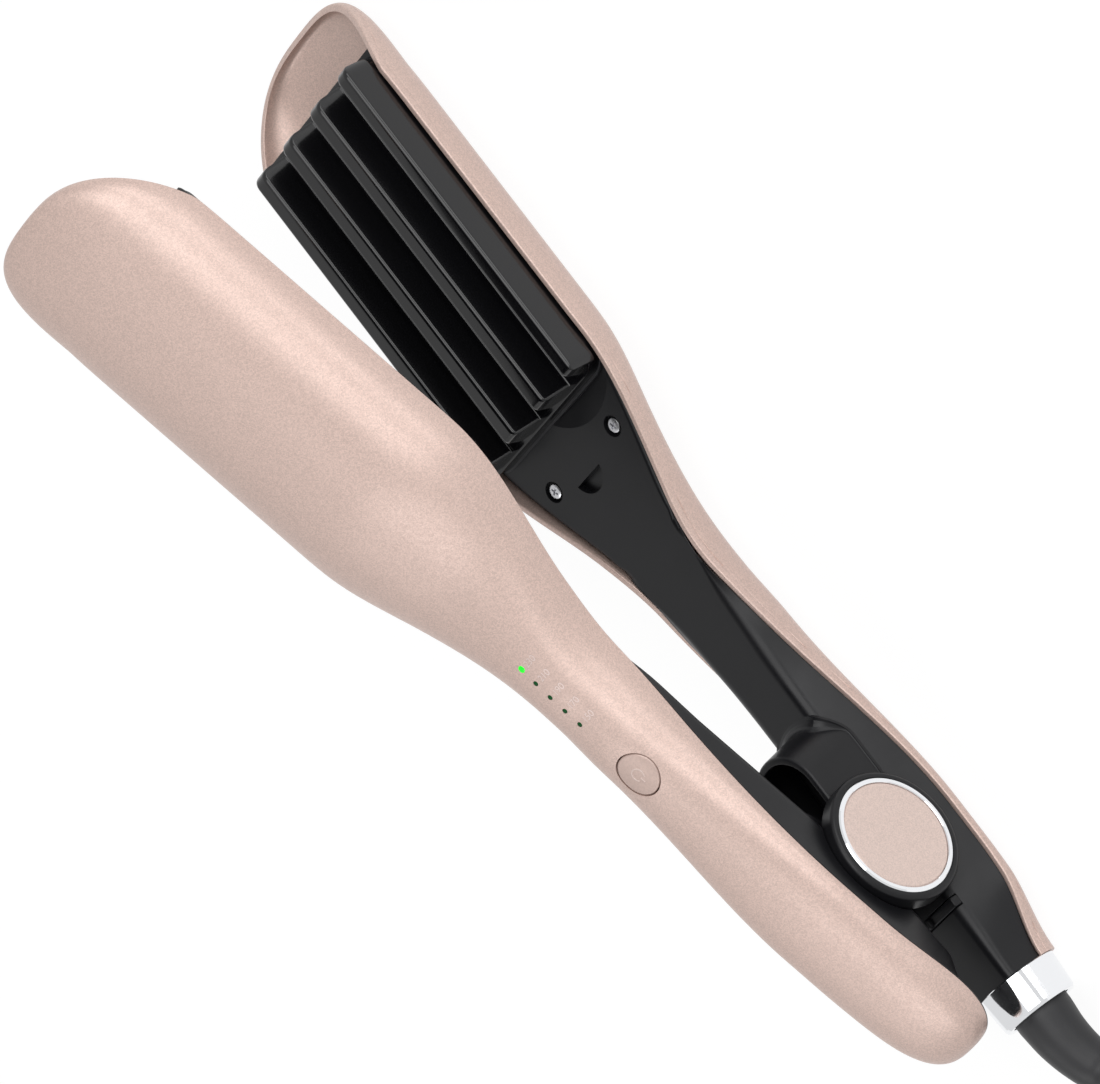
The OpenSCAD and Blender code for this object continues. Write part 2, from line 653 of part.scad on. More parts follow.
// ---- rear arm's own pieces ------------------------------------------------------------------
pink = [0.87, 0.72, 0.66];
module rear_shell() {
    color(pink) rear_arm() {
        casing(true);
        casing_bosses(true);
    }
}
module rear_plate() { color([0.03, 0.03, 0.035]) rear_arm() plate(); }
module rear_plate_tray() { color([0.12, 0.12, 0.13]) rear_arm() tray(); }
module rear_heater() { color("goldenrod") rear_arm() heater(); }
module rear_heater_strap() { color("silver") rear_arm() strap(); }
module rear_strap_screws() { color("silver") rear_arm() strap_screws(); }
module rear_liner_screws() { color("silver") rear_arm() liner_screws(); }
fuse_length = 12;
module rear_thermal_fuse() {
    color("tan") rear_arm() translate([heater_mid, 0, -strap_back - seat - fuse_r]) rotate([0, 90, 0])
        cylinder(r = fuse_r, h = fuse_length, center = true);
}

// ---- front arm's own pieces -----------------------------------------------------------------
lamp_places = [for (i = [0 : lamp_count - 1]) lamp_x + i * lamp_pitch];
button_y = 1;
module front_shell() {
    color(pink) front_arm() difference() {
        union() {
            casing(false);
            casing_bosses(false);
        }
        sunk(button_x, button_y, button_r + button_gap, rim(button_x), hinge_depth + 5);
        for (x = lamp_places) sunk(x, 0, lamp_r + seat, rim(x), hinge_depth + 5);
    }
}
module front_plate() { color([0.03, 0.03, 0.035]) front_arm() plate(); }
module front_plate_tray() { color([0.12, 0.12, 0.13]) front_arm() tray(); }
module front_heater() { color("goldenrod") front_arm() heater(); }
module front_heater_strap() { color("silver") front_arm() strap(); }
module front_strap_screws() { color("silver") front_arm() strap_screws(); }
module front_liner_screws() { color("silver") front_arm() liner_screws(); }
module heat_sensor() {
    color("firebrick") front_arm() translate([heater_mid, 0, -strap_back - seat - 1.5]) union() {
        sphere(r = 1.5, $fn = 32);
        rotate([0, -90, 0]) cylinder(r = 0.8, h = 9);
    }
}

// ---- controls -------------------------------------------------------------------------------
board_from = 40;
board_to = 98;
board_half = 8.4;
board_t = 1.6;
board_face = 15.6;
board_back = board_face + board_t;
board_posts = [board_from + 4, board_to - 4];
board_post_y = 5.6;
post_r = 2.2;
chip_at = [67, -4];
chip_half = [3, 2.4];
chip_t = 1.4;
module control_board() {
    color("darkgreen") front_arm() difference() {
        union() {
            translate([0, 0, -board_back]) linear_extrude(board_t)
                rounded_rect(board_from, board_to, board_half, 1.5);
            // Lamp chips under the light pipes and the controller chip
            for (x = lamp_places) block([x - 0.8, -0.6, board_back - eps], [x + 0.8, 0.6, board_back + 0.7]);
            block([chip_at[0] - chip_half[0], chip_at[1] - chip_half[1], board_back - eps],
                  [chip_at[0] + chip_half[0], chip_at[1] + chip_half[1], board_back + chip_t]);
        }
        for (x = board_posts, y = [-board_post_y, board_post_y])
            sunk(x, y, shaft_r + 0.1, board_face - 1, board_back + 1);
    }
}
module board_screws() {
    color("silver") front_arm() for (x = board_posts, y = [-board_post_y, board_post_y]) {
        sunk(x, y, head_r, board_back + seat, board_back + seat + 1.2);
        sunk(x, y, shaft_r, board_back + seat - 4, board_back + seat + eps);
    }
}
button_crown = crown(button_x);
flange_top = button_crown - wall - 0.75;
flange_t = 0.8;
stem_end = flange_top - flange_t;
switch_top = stem_end - button_travel - 0.1;
module button_switch() {
    color("dimgray") front_arm() {
        block([button_x - 3, button_y - 3, board_back + seat], [button_x + 3, button_y + 3, switch_top - 1]);
        sunk(button_x, button_y, 1.6, switch_top - 1 - eps, switch_top);
    }
}
module light_pipes() {
    color([0.3, 0.9, 0.35]) front_arm() for (x = lamp_places)
        sunk(x, 0, lamp_r, board_back + 0.7 + seat, crown(x) + 0.1);
}
button_round = 27;
module power_button() {
    color([0.82, 0.67, 0.6]) front_arm() {
        intersection() {
            sunk(button_x, button_y, button_r, stem_end, hinge_depth + 5);
            translate([button_x - 10, 0, -button_crown - 0.1 + button_round]) rotate([0, 90, 0])
                cylinder(r = button_round, h = 20, $fn = 180);
        }
        // Tabs that stop the button from falling out
        block([button_x - button_r - 1.6, button_y - 2.2, stem_end],
              [button_x + button_r + 1.6, button_y + 2.2, flange_top]);
    }
}
lock_x = cap_r + 0.9;
lock_half = 8;
lock_sink = 1.4;
lock_gap = 0.3;
lock_tab = 1;
lock_tab_y = [2, 7];
module lock_bar() {
    top = lock_h - lock_sink;
    color([0.1, 0.1, 0.11]) rear_arm() translate([0, -lock_travel / 2, 0]) {
        block([-lock_x - lock_w, -lock_half, face_depth - top + lock_tab],
              [-lock_x, lock_half, face_depth + lock_sink]);
        block([-lock_x - lock_w, lock_tab_y[0], face_depth - top],
              [-lock_x, lock_tab_y[1], face_depth + lock_sink]);
    }
}

// ---- cord end -------------------------------------------------------------------------------
// Turns a profile drawn as radius and distance from the pivot about the collar's axis
module on_cord_axis() {
    rear_arm() translate([0, 0, -collar_depth]) rotate([0, -90, 0]) rotate_extrude($fn = 96) children();
}
flange_bore = 6.5;
flange_to = collar_x + 2.4;
module collar() {
    b = 0.8;
    color([0.9, 0.9, 0.92]) on_cord_axis() polygon([
        [flange_bore, collar_x], [collar_r - 0.2, collar_x], [collar_r, collar_x + 0.2],
        [collar_end_r + 0.1, collar_end - b], [collar_end_r - b / 2, collar_end],
        [collar_bore + 0.2, collar_end], [collar_bore, collar_end - 0.3], [collar_bore, flange_to],
        [flange_bore, flange_to]]);
}
socket_r = flange_bore - seat;
socket_from = 25.5;
socket_foot = 5;
foot_half = 3.4;
core_in = 16;
module swivel_socket() {
    color([0.15, 0.15, 0.16]) {
        on_cord_axis() polygon([[journal_r + journal_play, socket_from], [socket_r, socket_from],
                                [socket_r, flange_to], [journal_r + journal_play, flange_to]]);
        // Foot that seats under the liner
        rear_arm() difference() {
            block([-socket_from - socket_foot, -foot_half, liner_lip + seat],
                  [-socket_from, foot_half, collar_depth]);
            translate([-socket_from - 2 * socket_foot, 0, -collar_depth]) rotate([0, 90, 0])
                cylinder(r = journal_r + journal_play, h = 4 * socket_foot);
        }
    }
}
core_flange = journal_r + 1.1;
core_bore = 2.1;
module swivel_core() {
    color([0.2, 0.2, 0.21]) on_cord_axis() polygon([
        [core_bore, core_in], [journal_r, core_in],
        [journal_r, socket_from - 2], [core_flange, socket_from - 2],
        [core_flange, socket_from - run_gap], [journal_r, socket_from - run_gap],
        [journal_r, flange_to + run_gap],
        [collar_bore - run_gap, flange_to + run_gap], [collar_bore - run_gap, relief_from - seat],
        [core_bore, relief_from - seat]]);
}
relief_from = flange_to + run_gap + 2;
slip_t = 0.7;
slip_places = [core_in + 1.2, core_in + 4];
slip_w = 1.5;
module slip_rings() {
    color("gold") for (x = slip_places) on_cord_axis()
        translate([journal_r + 0.02, x]) square([slip_t, slip_w]);
}
module brush_contacts() {
    touch = collar_depth - journal_r - slip_t - 0.3;
    color("gold") rear_arm() for (x = slip_places)
        block([-x - slip_w, -2, liner_lip + seat], [-x, 2, touch]);
}

// The relief, the cord and its coil are laid out from the pivot, on the surface below
module on_floor() { translate([-middle_x, 0, 0]) children(); }
exit_z = pivot_height - collar_depth * cos(rest_tilt) + collar_end * sin(rest_tilt);
relief_end_r = 3.8;
relief_turns = [[-collar_end - 2, 0, exit_z], [-60, 0, exit_z + 0.1], [-66, -0.6, 10.6], [-72, -2.2, 9.8],
                [-78, -5, 8.6], [-84, -8.8, 7.2], [-89.4, -13.4, 6.2]];
function relief_r_at(k, n) = relief_end_r + (relief_r - relief_end_r) * pow(1 - k / n, 0.8);
module strain_relief() {
    color([0.08, 0.08, 0.085]) {
        on_cord_axis() polygon([[0, relief_from], [relief_r, relief_from], [relief_r, collar_end + 2.2],
                                [0, collar_end + 2.2]]);
        on_floor() relief_sweep(relief_turns);
    }
}
module relief_sweep(path) {
    n = len(path) - 1;
    rings = [for (i = [0 : n]) tube_rings(path, relief_r_at(i, n), 20, [0, 0, 1])[i]];
    ring_loft(rings);
}
cord_route = [
    [-89.63, -13.59, 6.16], [-93.6, -17.6, 5.3], [-98, -22.2, 4.6], [-103, -27.4, 4.2],
    [-109, -33, 4], [-116, -38.2, 4], [-124, -42.2, 4], [-133, -44.8, 4],
    [-142, -45.8, 4], [-146, -45.8, 4]];
cord_sides = 10;
module power_cord() {
    color([0.1, 0.1, 0.105]) on_floor() ring_loft(tube_rings(cord_route, cord_r, cord_sides, [0, 0, 1]));
}

// The unseen length is wound on the surface behind the collar: in and out again in two layers
coil_x = -152;
coil_layer_turns = 4;
coil_pitch = 2 * cord_r + 0.5;
coil_in_r = 45.8 - coil_layer_turns * coil_pitch;
coil_low = 4;
coil_rings = 24;
coil_steps = 2 * coil_layer_turns * coil_rings;
function coil_point(i) = let(
        q = 360 * i / coil_rings,
        mid = 360 * coil_layer_turns,
        r = coil_in_r + coil_pitch * abs(q - mid) / 360,
        z = coil_low + coil_pitch * ease((q - mid + 90) / 180))
    [coil_x - r * sin(q), -r * cos(q), z];
coil_lead = [[-146, -45.8, 4]];
// From the coil's last turn the cord rises and bends inwards to the plug, which lies on the coil
coil_tail = [
    [-163.5, -44.9, 11], [-169.2, -42.3, 13.2], [-174.8, -37.7, 16], [-178.8, -32, 18.2],
    [-180.8, -26, 19.7], [-181, -20, 20.5], [-181, -14, 20.6]];
coil_path = concat(coil_lead, [for (i = [0 : coil_steps]) coil_point(i)], coil_tail);
function point_to_leg(p, a, b) = let(d = b - a, t = max(0, min(1, ((p - a) * d) / (d * d))))
    norm(p - a - t * d);
function coil_gap() = min([for (i = [0 : 2 : len(coil_path) - 1], j = [0 : len(coil_path) - 2])
    if (abs(i - j) > 6) point_to_leg(coil_path[i], coil_path[j], coil_path[j + 1])]) - 2 * cord_r;
module cord_coil() {
    echo(least_gap_in_the_coil = coil_gap());
    color([0.1, 0.1, 0.105]) on_floor() ring_loft(tube_rings(coil_path, cord_r, 6, [0, 0, 1]));
}
tie_t = 0.8;
tie_w = 6;
module cord_tie() {
    in_y = coil_in_r - cord_r - 0.6;
    out_y = coil_in_r + coil_layer_turns * coil_pitch + cord_r + 0.6;
    top = coil_low + coil_pitch + cord_r + 0.4;
    color([0.15, 0.15, 0.16]) on_floor() translate([coil_x - tie_w / 2, 0, 0]) rotate([90, 0, 90])
        linear_extrude(tie_w) difference() {
            translate([in_y - tie_t, 0]) square([out_y - in_y + 2 * tie_t, top + tie_t]);
            translate([in_y, tie_t]) square([out_y - in_y, top - tie_t]);
        }
}

// ---- plug -----------------------------------------------------------------------------------
plug_at = [-181, -14 + seat, coil_low + coil_pitch + cord_r + 0.3 + plug_t / 2];
plug_neck = 8;
plug_flare = 12;
plug_body_length = 26;
plug_face = plug_neck + plug_body_length;
module on_plug() { on_floor() translate(plug_at) rotate([0, 90, 90]) children(); }
module plug_body() {
    color([0.1, 0.1, 0.105]) on_plug() difference() {
        union() {
            cylinder(r = cord_r + 1.6, h = plug_neck + 1);
            intersection() {
                // Flat grip that widens towards its face
                translate([-plug_t / 2, 0, 0]) rotate([0, 90, 0]) linear_extrude(plug_t)
                    polygon([[-plug_neck, -7], [-plug_neck, 7], [-plug_neck - plug_flare, plug_w / 2 - 1],
                             [-plug_face, plug_w / 2], [-plug_face, -plug_w / 2],
                             [-plug_neck - plug_flare, -plug_w / 2 + 1]]);
                translate([0, plug_w / 2 + 1, plug_neck]) rotate([90, 0, 0]) linear_extrude(plug_w + 2)
                    polygon([[-5, 0], [5, 0], [plug_t / 2, 8], [plug_t / 2, plug_body_length + 1],
                             [-plug_t / 2, plug_body_length + 1], [-plug_t / 2, 8]]);
            }
        }
        for (s = [-1, 1]) translate([0, s * plug_pin_gap / 2, plug_face - plug_pin_sunk])
            cylinder(r = plug_pin_r - shank_step + 0.02, h = plug_pin_sunk + 1);
    }
}
plug_pin_sunk = 6;
shank_step = 0.4;
module plug_pins() {
    shank = plug_pin_sunk - seat;
    tip = shank + plug_pin_length;
    shank_r = plug_pin_r - shank_step;
    color("silver") on_plug() for (s = [-1, 1]) translate([0, s * plug_pin_gap / 2, plug_face - shank])
        rotate_extrude($fn = 64) polygon([[0, 0], [shank_r, 0], [shank_r, shank], [plug_pin_r, shank],
            [plug_pin_r, tip - 1], [plug_pin_r - 0.8, tip], [0, tip]]);
}

rear_shell();
rear_liner();
rear_plate();
rear_plate_tray();
rear_heater();
rear_heater_strap();
rear_strap_screws();
rear_liner_screws();
rear_thermal_fuse();
hinge_pin();
hinge_spring();
near_cap();
far_cap();
near_ring();
far_ring();
near_disc();
far_disc();
collar();
swivel_socket();
brush_contacts();
front_shell();
front_liner();
front_plate();
front_plate_tray();
front_heater();
front_heater_strap();
front_strap_screws();
front_liner_screws();
heat_sensor();
control_board();
board_screws();
button_switch();
light_pipes();
power_button();
lock_bar();
swivel_core();
slip_rings();
strain_relief();
power_cord();
cord_coil();
cord_tie();
plug_body();
plug_pins();
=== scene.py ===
"""Looks of a hair waver: satin champagne arms, black wave plates, bright trim and a wound cord."""
import json
import math

import bmesh
import bpy
import numpy as np
from mathutils import Matrix, Vector


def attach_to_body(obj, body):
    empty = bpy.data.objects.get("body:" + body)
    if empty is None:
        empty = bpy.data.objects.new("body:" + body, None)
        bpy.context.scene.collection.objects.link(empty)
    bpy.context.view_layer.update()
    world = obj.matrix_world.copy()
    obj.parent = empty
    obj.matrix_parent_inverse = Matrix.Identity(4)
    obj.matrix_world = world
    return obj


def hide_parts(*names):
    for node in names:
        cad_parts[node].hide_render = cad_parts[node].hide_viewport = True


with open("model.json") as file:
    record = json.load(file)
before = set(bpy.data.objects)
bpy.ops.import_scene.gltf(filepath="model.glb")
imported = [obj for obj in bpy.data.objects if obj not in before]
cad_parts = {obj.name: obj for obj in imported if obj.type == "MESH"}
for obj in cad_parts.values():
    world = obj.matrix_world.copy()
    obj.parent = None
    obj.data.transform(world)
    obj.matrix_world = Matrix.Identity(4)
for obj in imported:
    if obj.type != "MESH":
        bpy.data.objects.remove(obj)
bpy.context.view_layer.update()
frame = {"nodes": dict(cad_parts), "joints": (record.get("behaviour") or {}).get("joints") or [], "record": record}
nodes = frame["nodes"]
joints = {j["name"]: j for j in frame["joints"]}

# ---- where the arms lie ------------------------------------------------------------------
MM = 0.001
PIVOT = Vector(joints["arm_hinge"]["pos_m"])
OPEN_ANGLE = math.radians(joints["arm_hinge"]["range_deg"][1])
TILT = math.asin(joints["cord_swivel"]["axis"][2])
REAR = Matrix.Translation(PIVOT) @ Matrix.Rotation(TILT, 4, "Y") @ Matrix.Scale(MM, 4)
FRONT = (
    Matrix.Translation(PIVOT)
    @ Matrix.Rotation(TILT - OPEN_ANGLE, 4, "Y")
    @ Matrix.Rotation(math.pi, 4, "X")
    @ Matrix.Scale(MM, 4)
)

# ---- sizes of an arm, in millimetres from the pivot --------------------------------------
TIP = 252.0
TIP_ROUND = 40.0
TAIL = 46.9
TAIL_ROUND = 26.9
WALL = 1.6
SECTION_POWER = 2.5
COLLAR_X = 42.0
COLLAR_R = 10.8
COLLAR_DEPTH = 18.6
FACE_DEPTH = 9.0
LINER_T = 3.2
LINER_LIP = FACE_DEPTH + LINER_T
SEAM = 0.15
EDGE_GAP = 0.3
TUCK = (66.0, 86.0, 104.0)
RIB_START = 135.5
RIB_END = 229.5
RIB_PITCH = 15.2
CREST_RISE = 3.0
CREST_WIDTH = 4.4
GROOVE_DEPTH = 5.0
FLANK_RUN = 2.9
PLATE_HALF = 28.6
HINGE_HALF = 15.6
HINGE_CROWN = 28.8
COLLAR_CROWN = 29.2
TAIL_FROM = 20
TAIL_RUN = 22
RIM_END = -47.5
SIDE_LINE = [(0, HINGE_HALF), (58, 13.1), (80, 13.1), (144, 30.8)]
RIM_LINE = [(RIM_END, 19.5), (-10, 22.6), (0, 22.6), (100, 8.3), (150, 6.2)]
CROWN_LINE = [(0, HINGE_CROWN), (62, 26), (78, 25), (118, 22), (150, 25.3)]
SWEEP_FROM = 224
SWEEP_RUN = 28
SWEEP_UP = 14
SWEEP_POWER = 1.3
PLAN_POWER = 3
TIP_POWER = 5


# ---- the arm's profiles --------------------------------------------------------------------
def ease(t):
    """A soft step from 0 to 1."""
    u = max(0.0, min(1.0, t))
    return u * u * (3 - 2 * u)


def blend(x, steps):
    """A soft line through (place, value) pairs."""
    if x <= steps[0][0]:
        return steps[0][1]
    for (x0, v0), (x1, v1) in zip(steps, steps[1:]):
        if x <= x1:
            return v0 + (v1 - v0) * ease((x - x0) / (x1 - x0))
    return steps[-1][1]


def closing(t, power):
    """The share of a full width that is left at t on the way through a rounded end."""
    if t <= 0:
        return 1.0
    return 0.0 if t >= 1 else (1 - t**power) ** (1 / power)


def side(x):
    """Half width of an arm before its ends are rounded."""
    return blend(x, SIDE_LINE)


def rim(x):
    """Depth of the casing's rim, which sweeps back at the tip."""
    swept = SWEEP_UP * (max(0.0, x - SWEEP_FROM) / SWEEP_RUN) ** SWEEP_POWER
    return blend(x, RIM_LINE) + swept


def crown(x):
    """Depth of the casing's outermost line."""
    return blend(x, CROWN_LINE)


def rear_tail(x):
    """How far the rear arm has narrowed towards its collar."""
    return ease((-x - TAIL_FROM) / TAIL_RUN)


def half(x, rear, inset=0.0):
    """Half width of the casing's skin, inset millimetres inside the outer one."""
    tip = closing((x - TIP + TIP_ROUND) / (TIP_ROUND - inset), PLAN_POWER)
    if rear:
        tail = 1 + (COLLAR_R / HINGE_HALF - 1) * rear_tail(x)
    else:
        tail = closing((-x - TAIL + TAIL_ROUND) / (TAIL_ROUND - inset), PLAN_POWER)
    return (side(x) - inset) * tip * tail


def rise(x, rear, inset=0.0):
    """Height of the casing's skin over its rim."""
    tip = closing((x - TIP + TIP_ROUND) / (TIP_ROUND - inset), TIP_POWER)
    height = crown(x) - rim(x) - inset
    if rear:
        return height * tip + (COLLAR_CROWN - HINGE_CROWN) * rear_tail(x)
    return height * tip * closing((-x - TAIL + TAIL_ROUND) / (TAIL_ROUND - inset), PLAN_POWER)


def rounded(c, power):
    """A cosine or sine bent to a superellipse."""
    return math.copysign(abs(c) ** (2 / power), c)


# ---- meshes ----------------------------------------------------------------------------------
WELD = 1e-7
FLAT_WEIGHT = 80


def new_object(name, verts, faces, place, sharp_deg=40):
    """A smooth-shaded object from points in an arm's millimetres, put in the frame."""
    mesh = bpy.data.meshes.new(name)
    mesh.from_pydata([tuple(v) for v in verts], [], faces)
    mesh.transform(place)
    mesh.validate()
    mesh.update()
    obj = bpy.data.objects.new(name, mesh)
    bpy.context.scene.collection.objects.link(obj)
    tidy_normals(obj)
    shade(obj, sharp_deg)
    return obj


def tidy_normals(obj):
    """Welds points that coincide and turns every face outwards."""
    work = bmesh.new()
    work.from_mesh(obj.data)
    bmesh.ops.remove_doubles(work, verts=work.verts, dist=WELD)
    bmesh.ops.recalc_face_normals(work, faces=work.faces)
    work.to_mesh(obj.data)
    work.free()


def shade(obj, sharp_deg=40):
    """Smooth shading, broken at edges sharper than an angle."""
    obj.data.shade_smooth()
    obj.data.set_sharp_from_angle(angle=math.radians(sharp_deg))


def weigh_normals(obj):
    """Keeps large flat faces flat beside small curved ones."""
    change = obj.modifiers.new("normals", "WEIGHTED_NORMAL")
    change.keep_sharp = True
    change.weight = FLAT_WEIGHT


def loft(name, rings, place, sharp_deg=40):
    """Rings of equally many points joined by quads; the ends are closed by one face each."""
    count = len(rings[0])
    verts = [p for ring in rings for p in ring]
    faces = []
    for start in range(0, (len(rings) - 1) * count, count):
        for j in range(count):
            k = (j + 1) % count
            faces.append((start + j, start + k, start + count + k, start + count + j))
    last = len(verts) - count
    faces.append(tuple(range(count)))
    faces.append(tuple(range(last, last + count)))
    return new_object(name, verts, faces, place, sharp_deg)


def cut(obj, *cutters, operation="DIFFERENCE"):
    """Cuts the cutters out of obj, or joins them to it, and removes them."""
    for cutter in cutters:
        change = obj.modifiers.new("cut", "BOOLEAN")
        change.operation = operation
        change.solver = "EXACT"
        change.object = cutter
        bpy.context.view_layer.objects.active = obj
        with bpy.context.temp_override(object=obj, active_object=obj):
            bpy.ops.object.modifier_apply(modifier=change.name)
        bpy.data.objects.remove(cutter)
    return obj


def prism(name, outline, z0, z1, place):
    """An outline in x and y, drawn out between two heights."""
    return loft(name, [[(x, y, z0) for x, y in outline], [(x, y, z1) for x, y in outline]], place)


def circle(cx, cy, r, count=64):
    turn = 2 * math.pi / count
    return [(cx + r * math.cos(i * turn), cy + r * math.sin(i * turn)) for i in range(count)]


def rounded_box(x0, x1, hy, r, count=12):
    """Outline of a box with rounded corners, |y| up to hy."""
    corners = ((x1 - r, hy - r), (x0 + r, hy - r), (x0 + r, r - hy), (x1 - r, r - hy))
    points = []
    for quarter, (cx, cy) in enumerate(corners):
        for i in range(count + 1):
            a = math.radians(90 * quarter + 90 * i / count)
            points.append((cx + r * math.cos(a), cy + r * math.sin(a)))
    return points


# ---- materials -------------------------------------------------------------------------------
NOISE_LOW = 0.3
NOISE_HIGH = 0.7
CHAMPAGNE = (0.66, 0.495, 0.435)


def material(name, base, roughness, metallic=0.0, coat=0.0, coat_roughness=0.1, specular=0.5):
    made = bpy.data.materials.new(name)
    made.use_nodes = True
    shader = made.node_tree.nodes["Principled BSDF"]
    shader.inputs["Base Color"].default_value = (*base, 1)
    shader.inputs["Roughness"].default_value = roughness
    shader.inputs["Metallic"].default_value = metallic
    shader.inputs["Specular IOR Level"].default_value = specular
    shader.inputs["Coat Weight"].default_value = coat
    shader.inputs["Coat Roughness"].default_value = coat_roughness
    return made


def node(made, kind, **values):
    """A shader node with the given input values."""
    new = made.node_tree.nodes.new(kind)
    for key, value in values.items():
        new.inputs[key].default_value = value
    return new


def link(made, a, out, b, into):
    made.node_tree.links.new(a.outputs[out], b.inputs[into])


def place_source(made, stretch=(1, 1, 1)):
    """Object coordinates in metres, stretched for brushed or drawn grain."""
    where = node(made, "ShaderNodeTexCoord")
    scaled = node(made, "ShaderNodeMapping", Scale=stretch)
    link(made, where, "Object", scaled, "Vector")
    return scaled


def grain(made, scale, detail=3.0, stretch=(1, 1, 1)):
    noise = node(made, "ShaderNodeTexNoise", Scale=scale, Detail=detail, Roughness=0.6)
    link(made, place_source(made, stretch), "Vector", noise, "Vector")
    return noise


def vary(made, source, low, high):
    """Varies the shader's roughness between two values by a texture."""
    shader = made.node_tree.nodes["Principled BSDF"]
    spread = node(made, "ShaderNodeMapRange")
    spread.inputs["From Min"].default_value = NOISE_LOW
    spread.inputs["From Max"].default_value = NOISE_HIGH
    spread.inputs["To Min"].default_value = low
    spread.inputs["To Max"].default_value = high
    link(made, source, "Fac", spread, "Value")
    link(made, spread, "Result", shader, "Roughness")


def tint(made, source, out, dark, light, lowest=NOISE_LOW, highest=NOISE_HIGH):
    """Mixes the base colour between two tones by a texture."""
    shader = made.node_tree.nodes["Principled BSDF"]
    ramp = node(made, "ShaderNodeValToRGB")
    ramp.color_ramp.elements[0].position = lowest
    ramp.color_ramp.elements[0].color = (*dark, 1)
    ramp.color_ramp.elements[1].position = highest
    ramp.color_ramp.elements[1].color = (*light, 1)
    link(made, source, out, ramp, "Fac")
    link(made, ramp, "Color", shader, "Base Color")


def emboss(made, source, strength, distance):
    """A fine relief by a texture, distance in metres."""
    shader = made.node_tree.nodes["Principled BSDF"]
    bump = node(made, "ShaderNodeBump", Strength=strength, Distance=distance)
    link(made, source, "Fac", bump, "Height")
    link(made, bump, "Normal", shader, "Normal")


def shaded(tone, share):
    return tuple(c * share for c in tone)


def lacquer(name, tone, sparkle=1.0):
    """Satin metallic lacquer with fine flakes."""
    made = material(name, tone, 0.42, metallic=0.35, coat=0.15, coat_roughness=0.35)
    flakes = node(made, "ShaderNodeTexVoronoi", Scale=3600.0)
    link(made, place_source(made), "Vector", flakes, "Vector")
    dark = shaded(tone, 1 - 0.13 * sparkle)
    light = shaded(tone, 1 + 0.12 * sparkle)
    tint(made, flakes, "Color", dark, light, 0.15, 0.85)
    vary(made, grain(made, 900), 0.38, 0.5)
    emboss(made, grain(made, 3200, 2), 0.18 * sparkle, 0.00006)
    return made


def plastic(name, tone, roughness, pit=0.1, scale=2500, specular=0.5):
    """Moulded plastic with a fine spark-eroded grain."""
    made = material(name, tone, roughness, specular=specular)
    texture = grain(made, scale)
    vary(made, grain(made, 60, 4), roughness * 0.85, roughness * 1.2)
    tint(made, grain(made, 45, 4), "Fac", shaded(tone, 0.85), shaded(tone, 1.15))
    emboss(made, texture, pit, 0.00008)
    return made


def metal(name, tone, roughness, stretch=(1, 1, 1), scale=300, scratch=0.05):
    """Bare metal with fine streaks."""
    made = material(name, tone, roughness, metallic=1.0)
    streaks = grain(made, scale, 4, stretch)
    vary(made, streaks, roughness * 0.7, roughness * 1.5)
    emboss(made, streaks, scratch, 0.00004)
    return made


def coated_plate():
    """Gloss black ceramic coating with a faint orange-peel and fine wipe marks."""
    tone = (0.004, 0.004, 0.005)
    made = material("plate_black", tone, 0.2, coat=0.4, coat_roughness=0.08, specular=0.3)
    vary(made, grain(made, 120, 5, (0.2, 1, 1)), 0.12, 0.24)
    emboss(made, grain(made, 350, 2), 0.05, 0.00005)
    return made


def glow(name, tone, strength):
    """A lit lens."""
    made = plastic(name, tone, 0.25, 0.02)
    shader = made.node_tree.nodes["Principled BSDF"]
    shader.inputs["Emission Color"].default_value = (*tone, 1)
    shader.inputs["Emission Strength"].default_value = strength
    return made


MATERIALS = {
    "champagne": lacquer("champagne", CHAMPAGNE),
    "button_pink": lacquer("button_pink", shaded(CHAMPAGNE, 0.86), 0.5),
    # the power mark's lighter pink is a painted highlight on its raised ridges, not a colour of its own
    "mark_pink": plastic("mark_pink", (0.82, 0.66, 0.60), 0.3, 0.02),
    "disc_pink": lacquer("disc_pink", (0.74, 0.59, 0.53), 0.7),
    "black_liner": plastic("black_liner", (0.008, 0.008, 0.0095), 0.34, 0.08, specular=0.3),
    "black_plate": coated_plate(),
    "bright_trim": metal("bright_trim", (0.86, 0.87, 0.89), 0.07, scale=90, scratch=0.02),
    "steel": metal("steel", (0.60, 0.60, 0.62), 0.3, (1, 1, 6), 500, 0.1),
    "heat_resin": plastic("heat_resin", (0.03, 0.03, 0.033), 0.5),
    "ceramic_heater": plastic("ceramic_heater", (0.6, 0.54, 0.42), 0.6),
    "fuse_body": metal("fuse_body", (0.62, 0.58, 0.5), 0.35),
    "board_green": plastic("board_green", (0.01, 0.12, 0.045), 0.4),
    "switch_black": plastic("switch_black", (0.015, 0.015, 0.015), 0.4),
    "contact_brass": metal("contact_brass", (0.72, 0.52, 0.22), 0.25),
    "cord_rubber": plastic("cord_rubber", (0.011, 0.011, 0.013), 0.46, 0.12, 1500),
    "plug_black": plastic("plug_black", (0.012, 0.012, 0.014), 0.4, 0.1, 1800),
    "sensor_glass": plastic("sensor_glass", (0.35, 0.05, 0.03), 0.3),
    "lamp_lit": glow("lamp_lit", (0.0, 0.80, 0.01), 1.0),
    "lamp_dark": plastic("lamp_dark", (0.004, 0.075, 0.016), 0.3, 0.02, specular=0.12),
    "print_pale": plastic("print_pale", (0.80, 0.66, 0.62), 0.5, 0.02),
}


def dress(obj, name):
    """Gives an object one of the materials."""
    obj.data.materials.clear()
    obj.data.materials.append(MATERIALS[name])
    return obj


